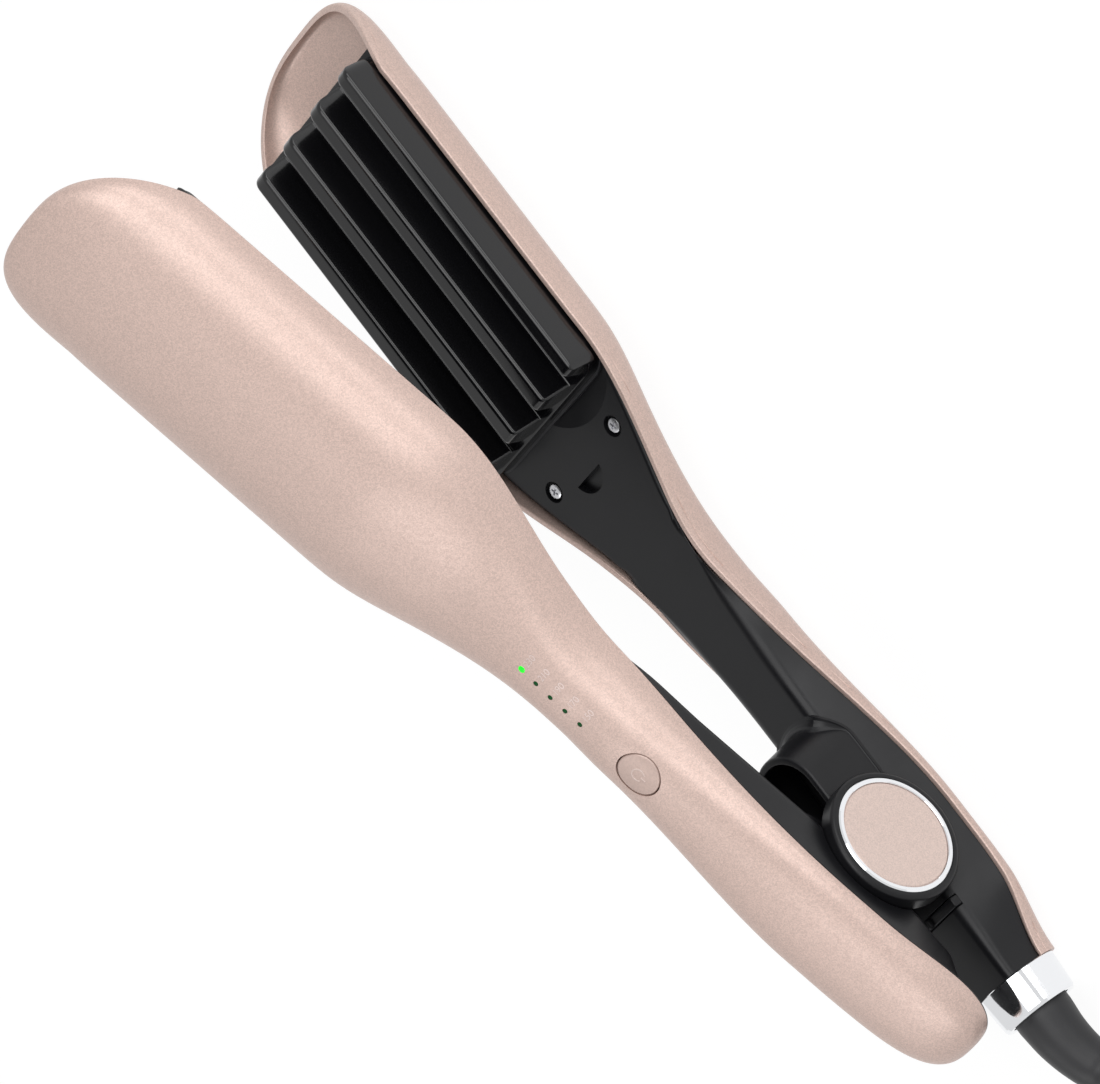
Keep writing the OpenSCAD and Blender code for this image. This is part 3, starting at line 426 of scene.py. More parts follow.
def dress_cad_nodes():
    """Every node of the CAD model takes the material of its slot in the record."""
    for part in frame["record"]["subparts"]:
        slot = part.get("material_slot")
        if part["node"] in nodes and slot in MATERIALS:
            made = MATERIALS["disc_pink" if "disc" in part["node"] else slot]
            obj = nodes[part["node"]]
            if not obj.material_slots:
                obj.data.materials.append(made)
            for held in obj.material_slots:
                held.material = made


# ---- camera ----------------------------------------------------------------------------------
PHOTO_WIDTH = 1100
FOCAL_PIXELS = 7667
SENSOR_WIDTH = 36


def add_camera():
    """The camera that took the photograph, from the rear arm's own axes."""
    right = Vector((-0.5966, -0.4611, -0.6569))
    down = Vector((-0.7819, 0.5185, 0.3462))
    away = Vector((0.181, 0.7201, -0.6698))
    spot = Vector((-226.9, -1330.4, 1253.8))
    turn = Matrix((right, -down, -away)).transposed().to_4x4()
    camera = bpy.data.cameras.new("camera")
    camera.sensor_width = SENSOR_WIDTH
    camera.lens = FOCAL_PIXELS * SENSOR_WIDTH / PHOTO_WIDTH
    camera.clip_start = 0.1
    camera.clip_end = 20
    obj = bpy.data.objects.new("camera", camera)
    upright = Matrix.Rotation(TILT, 4, "Y")
    obj.matrix_world = Matrix.Translation(REAR @ spot) @ (upright @ turn)
    bpy.context.scene.collection.objects.link(obj)
    bpy.context.scene.camera = obj


# ---- cord ------------------------------------------------------------------------------------
CORD_R = 3.0
BOOT_FROM = -47.2
BOOT_START_R = 7.5
BOOT_END_R = 3.8
BOOT_TAPER = 0.8
BOOT_SIDES = 48
BOOT_STRAIGHT = 8
NECK_AT = 0.52
NECK_WIDTH = 0.03
NECK_DEPTH = 0.35
RELIEF_TURNS = [(-54, 0, None), (-60, 0, None), (-66, -0.6, 10.6), (-72, -2.2, 9.8), (-78, -5, 8.6),
                (-84, -8.8, 7.2), (-89.4, -13.4, 6.2)]
CORD_ROUTE = [(-89.63, -13.59, 6.16), (-93.6, -17.6, 5.3), (-98, -22.2, 4.6), (-103, -27.4, 4.2),
              (-109, -33, 4), (-116, -38.2, 4), (-124, -42.2, 4), (-133, -44.8, 4), (-142, -45.8, 4)]
COIL_X = -152.0
COIL_TURNS = 4
COIL_PITCH = 6.5
COIL_RINGS = 24
COIL_OUT_R = 45.8
COIL_IN_R = COIL_OUT_R - COIL_TURNS * COIL_PITCH
COIL_LOW = 4.0
COIL_LEAD = [(-146, -45.8, 4)]
COIL_TAIL = [(-163.5, -44.9, 11), (-169.2, -42.3, 13.2), (-174.8, -37.7, 16), (-178.8, -32, 18.2),
             (-180.8, -26, 19.7), (-181, -20, 20.5), (-181, -14, 20.6)]
ON_FLOOR = Matrix.Translation((PIVOT.x, 0, 0)) @ Matrix.Scale(MM, 4)


def coil_points():
    """The cord's unseen length, wound inwards below and outwards above."""
    points = []
    for i in range(2 * COIL_TURNS * COIL_RINGS + 1):
        q = 360 * i / COIL_RINGS - 360 * COIL_TURNS
        r = COIL_IN_R + COIL_PITCH * abs(q) / 360
        a = math.radians(q)
        z = COIL_LOW + COIL_PITCH * ease((q + 90) / 180)
        points.append((COIL_X - r * math.sin(a), -r * math.cos(a), z))
    return points


def smooth_path(points, steps=4):
    """Points on a smooth curve through the given ones."""
    p = [np.array(q, float) for q in points]
    p = [2 * p[0] - p[1]] + p + [2 * p[-1] - p[-2]]
    made = []
    for a, b, c, d in zip(p, p[1:], p[2:], p[3:]):
        for k in range(steps):
            t = k / steps
            square = (2 * a - 5 * b + 4 * c - d) * t * t
            cube = (3 * b - a - 3 * c + d) * t**3
            made.append(0.5 * (2 * b + (c - a) * t + square + cube))
    made.append(p[-2])
    return made


def curve_tube(name, points, radius, place):
    """A round tube along points."""
    data = bpy.data.curves.new(name, "CURVE")
    data.dimensions = "3D"
    data.bevel_depth = radius * MM
    data.bevel_resolution = 6
    data.use_fill_caps = True
    spline = data.splines.new("POLY")
    spline.points.add(len(points) - 1)
    for target, point in zip(spline.points, points):
        target.co = (*(place @ Vector(point)), 1)
    spline.use_smooth = True
    obj = bpy.data.objects.new(name, data)
    bpy.context.scene.collection.objects.link(obj)
    return obj


def add_cord():
    path = smooth_path(CORD_ROUTE + COIL_LEAD + coil_points() + COIL_TAIL)
    cord = dress(curve_tube("mains_cord", path, CORD_R, ON_FLOOR), "cord_rubber")
    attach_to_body(cord, "cord_end")
    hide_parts("power_cord", "cord_coil")


def boot_radius(share):
    """The boot's radius at a share of its length, with one narrow neck."""
    r = BOOT_END_R + (BOOT_START_R - BOOT_END_R) * (1 - share) ** BOOT_TAPER
    return r - NECK_DEPTH * math.exp(-((share - NECK_AT) / NECK_WIDTH) ** 2)


def add_relief():
    """The moulded boot that leaves the collar: thick and straight first, then bending and tapering."""
    level = (REAR @ Vector((-COLLAR_X - 10, 0, -COLLAR_DEPTH))).z / MM + 0.05
    turns = [(x, y, level if h is None else h) for x, y, h in RELIEF_TURNS]
    start = ON_FLOOR.inverted() @ (REAR @ Vector((BOOT_FROM, 0, -COLLAR_DEPTH)))
    path = smooth_path([tuple(start)] + turns, 8)
    length = len(path) - 1
    around = [2 * math.pi * k / BOOT_SIDES for k in range(BOOT_SIDES)]
    rings = []
    for i, point in enumerate(path):
        before, after = path[max(0, i - 1)], path[min(length, i + 1)]
        along = Vector(after - before).normalized()
        out = along.cross(Vector((0, 0, 1))).normalized()
        up = out.cross(along)
        r = boot_radius(max(0.0, (i - BOOT_STRAIGHT) / (length - BOOT_STRAIGHT)))
        rings.append([Vector(point) + r * (math.cos(a) * out + math.sin(a) * up) for a in around])
    relief = dress(loft("cord_boot", rings, ON_FLOOR), "cord_rubber")
    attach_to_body(relief, "cord_end")
    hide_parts("strain_relief")


# ---- casings -----------------------------------------------------------------------------------
RIM_ROUND = 0.35
CREASE_UP = 2.3
CREASE_HALF = 0.35
CREASE_DEPTH = 0.14
SKIN_STEPS = 72
LEAST_SIZE = 0.02
END_STEP = 0.004
CLOSED_END = 1e-7
MIDDLE_FROM = -10
COLLAR_GAP = 0.05


def skin_size(x, rear, inset):
    """Half width and height of a skin, never quite nothing."""
    return max(LEAST_SIZE, half(x, rear, inset)), max(LEAST_SIZE, rise(x, rear, inset))


def skin_point(x, hw, h, t):
    """The (y, z) point of a section at an angle from its +y edge."""
    return hw * rounded(math.cos(t), SECTION_POWER), -(rim(x) + h * rounded(math.sin(t), SECTION_POWER))


def skin_points(x, rear, inset):
    """One section of a skin from the +y edge over the crown to the -y edge."""
    hw, h = skin_size(x, rear, inset)
    first = math.asin(min(1.0, min(0.9, RIM_ROUND / h) ** (SECTION_POWER / 2)))
    angles = [first + (math.pi - 2 * first) * j / SKIN_STEPS for j in range(SKIN_STEPS + 1)]
    if inset:
        return [(x, *skin_point(x, hw, h, t)) for t in angles]
    points = []
    for t, groove in creased(h, angles, rear):
        y, z = skin_point(x, hw, h, t)
        points.append((x, y * (1 - groove / hw), z))
    return points


def creased(h, angles, rear):
    """(angle, depth) pairs of the outer skin, with a fine groove just above the rear arm's rim."""
    marks = [CREASE_UP - CREASE_HALF, CREASE_UP, CREASE_UP + CREASE_HALF]
    room = rear and h > 3 * CREASE_UP
    near = [math.asin(min(1.0, m / h) ** (SECTION_POWER / 2)) if room else None for m in marks]
    extra = [(t, CREASE_DEPTH if i == 1 else 0.0) for i, t in enumerate(near) if t]
    if not extra:
        extra = [(angles[0] + 1e-4 * (i + 1), 0.0) for i in range(3)]
    return sorted([(t, 0.0) for t in angles] + extra + [(math.pi - t, groove) for t, groove in extra])


def rim_corner(x, rear, inset, sign, inward):
    """The small round between a skin and the rim face, from the skin to the face."""
    hw, h = skin_size(x, rear, inset)
    r = min(RIM_ROUND, hw * 0.4, 0.9 * h)
    out = sign * (-1 if inward else 1)
    points = []
    for a in (math.radians(60), math.radians(25), 0.0):
        y = hw * sign - out * r * (1 - math.sin(a))
        points.append((x, y, -(rim(x) + r * (1 - math.cos(a)))))
    return points


def casing_stations(rear):
    """Pairs of places along the outer and the inner skin, closer together towards rounded ends."""
    pairs = []
    if rear:
        for i in range(30):
            x = -COLLAR_X + COLLAR_GAP + (COLLAR_X + MIDDLE_FROM) * i / 30
            pairs.append((x, x))
    else:
        pairs.append((-TAIL + CLOSED_END, -TAIL + WALL + CLOSED_END))
        for i in range(40):
            share = 1 - math.cos(math.pi / 2 * i / 40)
            outer = -TAIL + END_STEP + (TAIL + MIDDLE_FROM) * share
            inner = -TAIL + WALL + END_STEP + (TAIL - WALL + MIDDLE_FROM) * share
            pairs.append((outer, inner))
    start = TIP - TIP_ROUND
    for i in range(160):
        x = MIDDLE_FROM + (start - MIDDLE_FROM) * i / 160
        pairs.append((x, x))
    for i in range(61):
        share = math.sin(math.pi / 2 * i / 60)
        outer = start + (TIP_ROUND - END_STEP) * share
        inner = start + (TIP_ROUND - WALL - END_STEP) * share
        pairs.append((outer, inner))
    pairs.append((TIP - CLOSED_END, TIP - WALL - CLOSED_END))
    return pairs


def casing_mesh(name, rear, place):
    """A thin shell: outer skin, rim and inner skin in each ring."""
    rings = []
    for x_out, x_in in casing_stations(rear):
        ring = rim_corner(x_out, rear, 0, 1, False)[::-1]
        ring += skin_points(x_out, rear, 0)
        ring += rim_corner(x_out, rear, 0, -1, False)
        ring += rim_corner(x_in, rear, WALL, -1, True)[::-1]
        ring += skin_points(x_in, rear, WALL)[::-1]
        ring += rim_corner(x_in, rear, WALL, 1, True)
        rings.append(ring)
    return loft(name, rings, place, sharp_deg=50)


BUTTON = (56.0, 1.0, 5.7)
BUTTON_GAP = 0.33
BUTTON_FOOT = -23.0
LAMP_X = 74.3
LAMP_PITCH = 4.75
LAMP_NUMBERS = ("150", "170", "190", "210", "230")
LAMP_R = 0.66
LIT_LAMP = 4
LIT_LAMP_R = 0.9
LAMP_FOOT = -20.5
LAMP_GAP = 0.04
NUMBER_SIZE = 2.5
NUMBER_BACK = 0.9
NUMBER_ASIDE = 1.9
PRINT_LIFT = 0.03
KEY_EDGE = 0.4
MARK_R = 1.7
MARK_LINE = 0.2


def lamp_radius(i):
    """The lamp that is lit looks larger than the others."""
    return LIT_LAMP_R if i == LIT_LAMP else LAMP_R


def skin_z(x, y):
    """Height of the front casing's outer skin, as its own frame has it."""
    share = (1 - min(1.0, abs(y) / half(x, False)) ** SECTION_POWER) ** (1 / SECTION_POWER)
    return -(rim(x) + rise(x, False) * share)


def add_casings():
    rear = dress(casing_mesh("rear_casing", True, REAR), "champagne")
    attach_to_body(rear, "rear_arm")
    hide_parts("rear_shell")
    front = casing_mesh("front_casing", False, FRONT)
    x, y, r = BUTTON
    cut(front, prism("hole", circle(x, y, r + BUTTON_GAP, 96), -32, -21, FRONT))
    for i in range(len(LAMP_NUMBERS)):
        hole = circle(LAMP_X + i * LAMP_PITCH, 0, lamp_radius(i) + LAMP_GAP, 32)
        cut(front, prism("hole", hole, -32, -20, FRONT))
    shade(front, 50)
    weigh_normals(front)
    dress(front, "champagne")
    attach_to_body(front, "front_arm")
    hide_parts("front_shell")


# ---- controls ----------------------------------------------------------------------------------
def on_skin(name, cx, cy, levels, floor, place, count=64):
    """A round plug that follows the skin: (radius, lift) levels from its middle out, down to a floor."""
    rings = []
    for r, lift in levels:
        rings.append([(x, y, skin_z(x, y) - lift) for x, y in circle(cx, cy, r, count)])
    rings.append([(x, y, floor) for x, y in circle(cx, cy, levels[-1][0], count)])
    return loft(name, rings, place)


def attach(obj, material_name, body, slot, *targets):
    """Dresses a small piece and puts it on its body."""
    dress(obj, material_name)
    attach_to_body(obj, body)
    if targets:
        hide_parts(*targets)


def add_button():
    """The power button with a rounded edge and a raised power mark."""
    x, y, r = BUTTON
    turns = [math.pi / 2 * k / 5 for k in range(6)]
    levels = [(r * k / 10, 0.0) for k in range(1, 10)]
    levels += [(r - KEY_EDGE + KEY_EDGE * math.sin(a), KEY_EDGE * (math.cos(a) - 1)) for a in turns]
    key = on_skin("power_key", x, y, levels, BUTTON_FOOT, FRONT, 96)
    shade(key, 45)
    attach(key, "button_pink", "power_button", "champagne", "power_button")
    arc = [math.radians(a) for a in range(-140, 141, 8)]
    circle_line = [(x + MARK_R * math.cos(a), y + MARK_R * math.sin(a)) for a in arc]
    bar_line = [(x - 2.3 + 0.2 * k, y) for k in range(8)]
    ring = ridge("power_key_ring", circle_line, MARK_LINE)
    bar = ridge("power_key_bar", bar_line, MARK_LINE)
    for mark in (ring, bar):
        # the mark's ridges take a lighter pink, a painted highlight on the raised lines
        attach(mark, "mark_pink", "power_button", "champagne")


def ridge(name, line, r):
    """A low half-round ridge on the skin along a line of (x, y) places."""
    rings = []
    for i, (x, y) in enumerate(line):
        before, after = line[max(0, i - 1)], line[min(len(line) - 1, i + 1)]
        along = Vector((after[0] - before[0], after[1] - before[1])).normalized()
        ring = []
        for k in range(10):
            a = 2 * math.pi * k / 10
            px, py = x - along.y * r * math.cos(a), y + along.x * r * math.cos(a)
            ring.append((px, py, skin_z(px, py) - 0.6 * r * math.sin(a)))
        rings.append(ring)
    return loft(name, rings, FRONT, sharp_deg=80)


def add_lamps():
    """Five domed lenses, the last one lit."""
    turns = [math.radians(d) for d in range(10, 91, 16)]
    for i in range(len(LAMP_NUMBERS)):
        r = lamp_radius(i)
        levels = [(r * math.sin(a), 0.22 * math.cos(a) - 0.1) for a in turns]
        lamp = on_skin(f"lamp_{i + 1}", LAMP_X + i * LAMP_PITCH, 0, levels, LAMP_FOOT, FRONT, 32)
        shown = "lamp_lit" if i == LIT_LAMP else "lamp_dark"
        replaced = ["light_pipes"] if i == 0 else []
        attach(lamp, shown, "front_arm", "lamp_green", *replaced)


def add_numbers():
    """Plain temperature numbers, printed beside the lamps across the arm."""
    for i, number in enumerate(LAMP_NUMBERS):
        text = bpy.data.curves.new("number", "FONT")
        text.body = number
        text.size = NUMBER_SIZE
        shape = bpy.data.objects.new("number", text)
        mesh = bpy.data.meshes.new_from_object(shape)
        bpy.data.objects.remove(shape)
        start = LAMP_X + i * LAMP_PITCH - NUMBER_BACK
        spots = [(start + v.co.y, NUMBER_ASIDE + v.co.x) for v in mesh.vertices]
        verts = [(x, y, skin_z(x, y) - PRINT_LIFT) for x, y in spots]
        faces = [tuple(f.vertices) for f in mesh.polygons]
        digits = new_object(f"number_{i + 1}", verts, faces, FRONT)
        attach(digits, "print_pale", "front_arm", "champagne")


# ---- small hardware --------------------------------------------------------------------------
SCREW_X = 121.9
SCREW_Y = 15.3
HEAD_SUNK = 0.25
HEAD_SHAPE = [(1.95, 1.25), (1.95, 0.45), (1.86, 0.2), (1.6, 0.06), (1.25, 0), (0.6, 0)]
CROSS_TURNS = (20, 110)
CROSS_REACH = 1.1
CROSS_HALF = 0.27
CROSS_DEPTH = 0.7
LOCK_FROM = -21.1
LOCK_TO = -18.5
LOCK_MIDDLE = -1.5
LOCK_HALF = 8
LOCK_EDGE = 0.3
TAB_FROM = 2
TAB_TO = 7


def screw_head(name, x, y, place):
    """A pan head with a rounded rim and a cross recess."""
    top = -FACE_DEPTH - HEAD_SUNK
    rings = [[(px, py, top - down) for px, py in circle(x, y, r, 48)] for r, down in HEAD_SHAPE]
    head = loft(name, rings, place)
    for turn in CROSS_TURNS:
        a = math.radians(turn)
        along = CROSS_REACH * Vector((math.cos(a), math.sin(a)))
        aside = CROSS_HALF * Vector((-math.sin(a), math.cos(a)))
        corners = (-along - aside, along - aside, along + aside, aside - along)
        outline = [tuple(Vector((x, y)) + corner) for corner in corners]
        cut(head, prism("cross", outline, top - CROSS_DEPTH, top + 1, place))
    shade(head, 40)
    return head


def add_screws():
    """Two liner screws an arm; the first head stands for the CAD node of both."""
    for arm, place in (("rear", REAR), ("front", FRONT)):
        for number, sign in enumerate((-1, 1)):
            head = screw_head(f"{arm}_screw_{number + 1}", SCREW_X, sign * SCREW_Y, place)
            replaced = [f"{arm}_liner_screws"] if number == 0 else []
            attach(head, "steel", f"{arm}_arm", "steel", *replaced)


def add_lock():
    """The lock bar behind the hinge cap, with its raised finger tab."""
    bar = lock_block("lock_slider", -LOCK_HALF, LOCK_HALF, -1.4, 1.0)
    cut(bar, lock_block("tab", TAB_FROM, TAB_TO, -1.0, 2.0), operation="UNION")
    shade(bar, 25)
    attach(bar, "black_liner", "lock_bar", "black_liner", "lock_bar")


def lock_block(name, y0, y1, z0, z1):
    """A block of the lock bar with rounded upper edges: y from its middle, z from the flat face."""
    turns = [math.radians(a) for a in (0, 30, 60, 90)]
    r = LOCK_EDGE
    levels = [(0, z0)] + [(r * (1 - math.cos(a)), z1 - r + r * math.sin(a)) for a in turns]
    middle = LOCK_MIDDLE + (y0 + y1) / 2
    rings = []
    for inset, z in levels:
        half_y = (y1 - y0) / 2 - inset
        outline = rounded_box(LOCK_FROM + inset, LOCK_TO - inset, half_y, 0.5 - inset * 0.5, 4)
        rings.append([(x, y + middle, z - FACE_DEPTH) for x, y in outline])
    return loft(name, rings, REAR)


# ---- plates ------------------------------------------------------------------------------------
RIB_CENTRES = [(i - 1.75) * RIB_PITCH for i in range(4)]
BASE_FROM = RIB_START - 1.5
BASE_TO = RIB_END + 1.5
BASE_ROUND = 7.0
RIB_CORNER = 4.0
RIB_START_ROUND = 1.5
RIB_END_ROUND = 3.0
CREST_ROUND = 1.2
GROOVE_ROUND = 1.0
PLATE_SKIRT = GROOVE_DEPTH + 0.8
FILLET_STEPS = 6
RIB_END_STEPS = (0, 0.05, 0.15, 0.35, 0.65, 1.0, 1.5, 2.2, 3.0, 4.0)


def filleted(corners):
    """A closed outline of (y, z, radius) corners, each one rounded."""
    points = []
    for i, (y, z, r) in enumerate(corners):
        here = Vector((y, z))
        before = (Vector(corners[i - 1][:2]) - here).normalized()
        after = (Vector(corners[(i + 1) % len(corners)][:2]) - here).normalized()
        opening = before.angle(after) / 2
        centre = here + (before + after).normalized() * r / math.sin(opening)
        first = here + before * r / math.tan(opening) - centre
        last = here + after * r / math.tan(opening) - centre
        start = math.atan2(first.y, first.x)
        turn = (math.atan2(last.y, last.x) - start + math.pi) % (2 * math.pi) - math.pi
        for k in range(FILLET_STEPS + 1):
            a = start + turn * k / FILLET_STEPS
            points.append((centre.x + r * math.cos(a), centre.y + r * math.sin(a)))
    return points


def rib_outline():
    """The plate's section across its ribs, from the -y edge to the +y edge."""
    flat = CREST_WIDTH / 2
    foot = flat + FLANK_RUN
    line = [(-PLATE_HALF, -PLATE_SKIRT, 0.2), (-PLATE_HALF, CREST_RISE, CREST_ROUND)]
    for i, y in enumerate(RIB_CENTRES):
        if i:
            line += [(y - foot, -GROOVE_DEPTH, GROOVE_ROUND), (y - flat, CREST_RISE, CREST_ROUND)]
        line += [(y + flat, CREST_RISE, CREST_ROUND), (y + foot, -GROOVE_DEPTH, GROOVE_ROUND)]
    line += [(PLATE_HALF, -GROOVE_DEPTH, 0.3), (PLATE_HALF, -PLATE_SKIRT, 0.2)]
    return filleted(line)


def corner_drop(d, r):
    """How far a quarter round of radius r lies inside its corner at a distance d from the end."""
    return 0.0 if d >= r else r - math.sqrt(r * r - (r - d) ** 2)


def lowered(z, share):
    """A height over the grooves brought down to a share of itself."""
    return z if z < -GROOVE_DEPTH else (z + GROOVE_DEPTH) * share - GROOVE_DEPTH


def rib_rings():
    """Sections along the ribs, which are rounded down at both ends."""
    last = RIB_END_STEPS[-1]
    xs = [RIB_START + d for d in RIB_END_STEPS]
    xs += [RIB_START + last + (RIB_END - RIB_START - 2 * last) * i / 12 for i in range(1, 12)]
    xs += [RIB_END - d for d in reversed(RIB_END_STEPS)]
    outline = rib_outline()
    rings = []
    for x in xs:
        drop = max(corner_drop(x - RIB_START, RIB_START_ROUND), corner_drop(RIB_END - x, RIB_END_ROUND))
        share = 1 - drop / (CREST_RISE + GROOVE_DEPTH)
        room = PLATE_HALF - corner_drop(min(x - BASE_FROM, BASE_TO - x), RIB_CORNER)
        rings.append([(x, max(-room, min(room, y)), lowered(z, share)) for y, z in outline])
    return rings


def slab(name, x0, x1, hy, r, levels, place):
    """A rounded slab whose edge is drawn in by (inset, height) levels."""
    rings = []
    for inset, z in levels:
        outline = rounded_box(x0 + inset, x1 - inset, hy - inset, r - inset)
        rings.append([(x, y, z) for x, y in outline])
    return loft(name, rings, place)


def add_plate(name, body, target, place):
    """A wave plate: ribs on a base with a softened upper edge."""
    top = -GROOVE_DEPTH - 0.02
    levels = [(0, -FACE_DEPTH + 0.05), (0, top - 0.5), (0.15, top - 0.15), (0.5, top)]
    base = slab("base", BASE_FROM, BASE_TO, PLATE_HALF, BASE_ROUND, levels, place)
    plate = dress(cut(loft(name, rib_rings(), place), base, operation="UNION"), "black_plate")
    shade(plate, 35)
    weigh_normals(plate)
    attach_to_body(plate, body)
    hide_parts(target)


# ---- liners --------------------------------------------------------------------------------------
REAR_FLATS = [(44, 8.6), (70, 9.2), (92, 11.4), (118, 30.8)]
FRONT_FLATS = [(-44, 2.5), (-35, 5.5), (-27, 8.3), (-14, 11.2), (20, 12.4), (92, 12.4), (118, 30.8)]
LINER_TIP = RIB_END + 2.5
BEND_REACH = 2.6
BEND_STEPS = 9
REAR_RIM_SHOWN = 1.2
FRONT_RIM_SHOWN = 0.2
TAIL_SINK = 26.0
TAIL_LIP = 0.8
SLOPE_LEAST = 0.6
CAP_R = 17.6
EAR_IN = 7.0
EAR_OUT = 11.7
KNUCKLE_R = 8.0
PIN_R = 3.0


def liner_foot(x):
    """Depth of the liner's edge: over the casing's rim at the grip, inside it at the paddle."""
    over = rim(x) - SEAM
    return over + (LINER_LIP - over) * ease((x - TUCK[1]) / (TUCK[2] - TUCK[1]))


def liner_edge(x, rear):
    """Half width of the liner at its edge."""
    over = half(x, rear) - (REAR_RIM_SHOWN if rear else FRONT_RIM_SHOWN)
    share = max(0.0, LINER_LIP - rim(x)) / (rise(x, rear) - WALL)
    room = (half(x, rear) - WALL) * (1 - min(1.0, share) ** SECTION_POWER) ** (1 / SECTION_POWER)
    return over + (room - EDGE_GAP - over) * ease((x - TUCK[0]) / (TUCK[1] - TUCK[0]))


def liner_top(x, rear, inset):
    """Depth of the flat face, which sinks to the foot at the front arm's tail."""
    if x > -TAIL_SINK:
        return FACE_DEPTH + inset
    foot = liner_foot(x)
    share = 0.0 if rear else ease((-x - TAIL_SINK) / (-RIM_END - TAIL_SINK))
    return min(FACE_DEPTH + (foot - TAIL_LIP - FACE_DEPTH) * share + inset, foot)


def liner_side(x, rear, inset):
    """The liner's surface from its +y edge up a straight slope and a tight bend to its flat face."""
    edge = liner_edge(x, rear)
    flat = min(edge - SLOPE_LEAST, blend(x, REAR_FLATS if rear else FRONT_FLATS))
    top = liner_top(x, rear, inset)
    foot = Vector((edge - inset, -max(top, liner_foot(x))))
    corner = Vector((min(flat - inset * 0.6, edge - inset - 0.4), -top))
    slope = foot - corner
    reach = min(BEND_REACH, 0.45 * slope.length, 0.5 * corner.x)
    bend = [corner + slope.normalized() * reach, corner, corner - Vector((reach, 0))]
    line = [foot, foot + Vector((-0.06, 0.22)) * min(1.0, slope.length / 2)]
    line += [line[1].lerp(bend[0], k / 4) for k in range(1, 4)]
    for k in range(BEND_STEPS + 1):
        t = k / BEND_STEPS
        line.append((1 - t) ** 2 * bend[0] + 2 * t * (1 - t) * bend[1] + t * t * bend[2])
    return [(x, y, z) for y, z in line]


def liner_section(x, rear):
    """One closed section of the liner's skin, outer face first."""
    outer = liner_side(x, rear, 0)
    inner = liner_side(x, rear, LINER_T - 0.2)
    other = [(x, -y, z) for x, y, z in outer]
    inner_other = [(x, -y, z) for x, y, z in inner]
    return outer + other[::-1] + inner_other + inner[::-1]


def across(name, outline, y0, y1, place):
    """An outline in x and z, drawn out between two values of y."""
    return loft(name, [[(x, y0, z) for x, z in outline], [(x, y1, z) for x, z in outline]], place)


def block(name, x0, x1, y0, y1, z0, z1, place):
    return prism(name, [(x0, y0), (x1, y0), (x1, y1), (x0, y1)], z0, z1, place)


DISH_R = 17.5
DISH_DEPTH = 2.4
DISH_END = 126.8
DISH_Y = -12.6
SPHERE_R = (DISH_R**2 + DISH_DEPTH**2) / (2 * DISH_DEPTH)
DISH_REACH = 7.5
PIT_X = 119.25
PIT_Y = 2
PIT_R = 5.55
PIT_FLAT = 1.05
PIT_FLOOR = -11.2
SEAT_GAP = 0.65
SEAT_FLOOR = -10.5
HEAD_HOLE_R = 2.8
SHANK_HOLE_R = 1.4
FACE_OVER = -8
HEAD_FLOOR = -10.6
WINDOW_FROM = 147.5
WINDOW_TO = 217.5
WINDOW_HALF = 11
THROUGH_FROM = -14
THROUGH_TO = -9.5


def dish_cutter(place):
    """The part of a large sphere that hollows the finger dish behind the plate."""
    rings = []
    for i in range(25):
        x = DISH_END + 0.01 + DISH_REACH * (i / 24) ** 2
        away = DISH_END + DISH_R - x
        w = math.sqrt(DISH_R**2 - away**2)
        ring = [(x, DISH_Y + w, -FACE_DEPTH + 1), (x, DISH_Y - w, -FACE_DEPTH + 1)]
        for k in range(33):
            y = -w * math.cos(math.pi * k / 32)
            z = -FACE_DEPTH - DISH_DEPTH + SPHERE_R - math.sqrt(SPHERE_R**2 - away**2 - y * y)
            ring.append((x, DISH_Y + y, z))
        rings.append(ring)
    return loft("dish", rings, place)


def pit_cutter(place):
    """The small round pit with one flat side between the liner's screws."""
    limit = math.acos(-PIT_FLAT / PIT_R)
    arc = [limit + (2 * math.pi - 2 * limit) * k / 40 for k in range(41)]
    outline = [(PIT_X + PIT_R * math.cos(a), PIT_Y + PIT_R * math.sin(a)) for a in arc]
    return prism("pit", outline, PIT_FLOOR, FACE_OVER, place)


def shared_cutters(place):
    """What both liners have: the plate's seat, the wires' window, dish, pit and screw holes."""
    levels = [(0, SEAT_FLOOR), (0, FACE_OVER)]
    cutters = [
        slab("seat", BASE_FROM - SEAT_GAP, BASE_TO + 10, PLATE_HALF - 0.25, BASE_ROUND, levels, place),
        block("window", WINDOW_FROM, WINDOW_TO, -WINDOW_HALF, WINDOW_HALF, THROUGH_FROM, THROUGH_TO, place),
        dish_cutter(place),
        pit_cutter(place),
    ]
    for sign in (-1, 1):
        recess = circle(SCREW_X, sign * SCREW_Y, HEAD_HOLE_R, 48)
        hole = circle(SCREW_X, sign * SCREW_Y, SHANK_HOLE_R, 24)
        cutters.append(prism("recess", recess, HEAD_FLOOR, FACE_OVER, place))
        cutters.append(prism("hole", hole, THROUGH_FROM, THROUGH_TO, place))
    return cutters


def cap_cutters(gap, place):
    """Room for the two hinge caps."""
    outline = circle(0, 0, CAP_R + gap, 128)
    inner = EAR_OUT + 0.1 - gap
    return [across("room", outline, -27, -inner, place), across("room", outline, inner, 27, place)]


HOOD_HALF = 11.0
HOOD_TOP = 5.0
HOOD_WALL = 2.0
HOOD_BACK = 8.0
HOOD_FRONT = 34
HOOD_LEAN = 4 / 21
HOOD_ROUND = 0.7


def hood_point(s, out, z):
    """A place on the hood: s from -1 to 1 round its U, out from its outer face, at a height."""
    middle = HOOD_FRONT + HOOD_LEAN * (HOOD_TOP - z) - HOOD_HALF
    reach = HOOD_HALF + out
    if abs(s) > 0.5:
        return (HOOD_BACK + (middle - HOOD_BACK) * (1 - abs(s)) * 2, math.copysign(reach, s), z)
    return (middle + reach * math.cos(math.pi * s), reach * math.sin(math.pi * s), z)


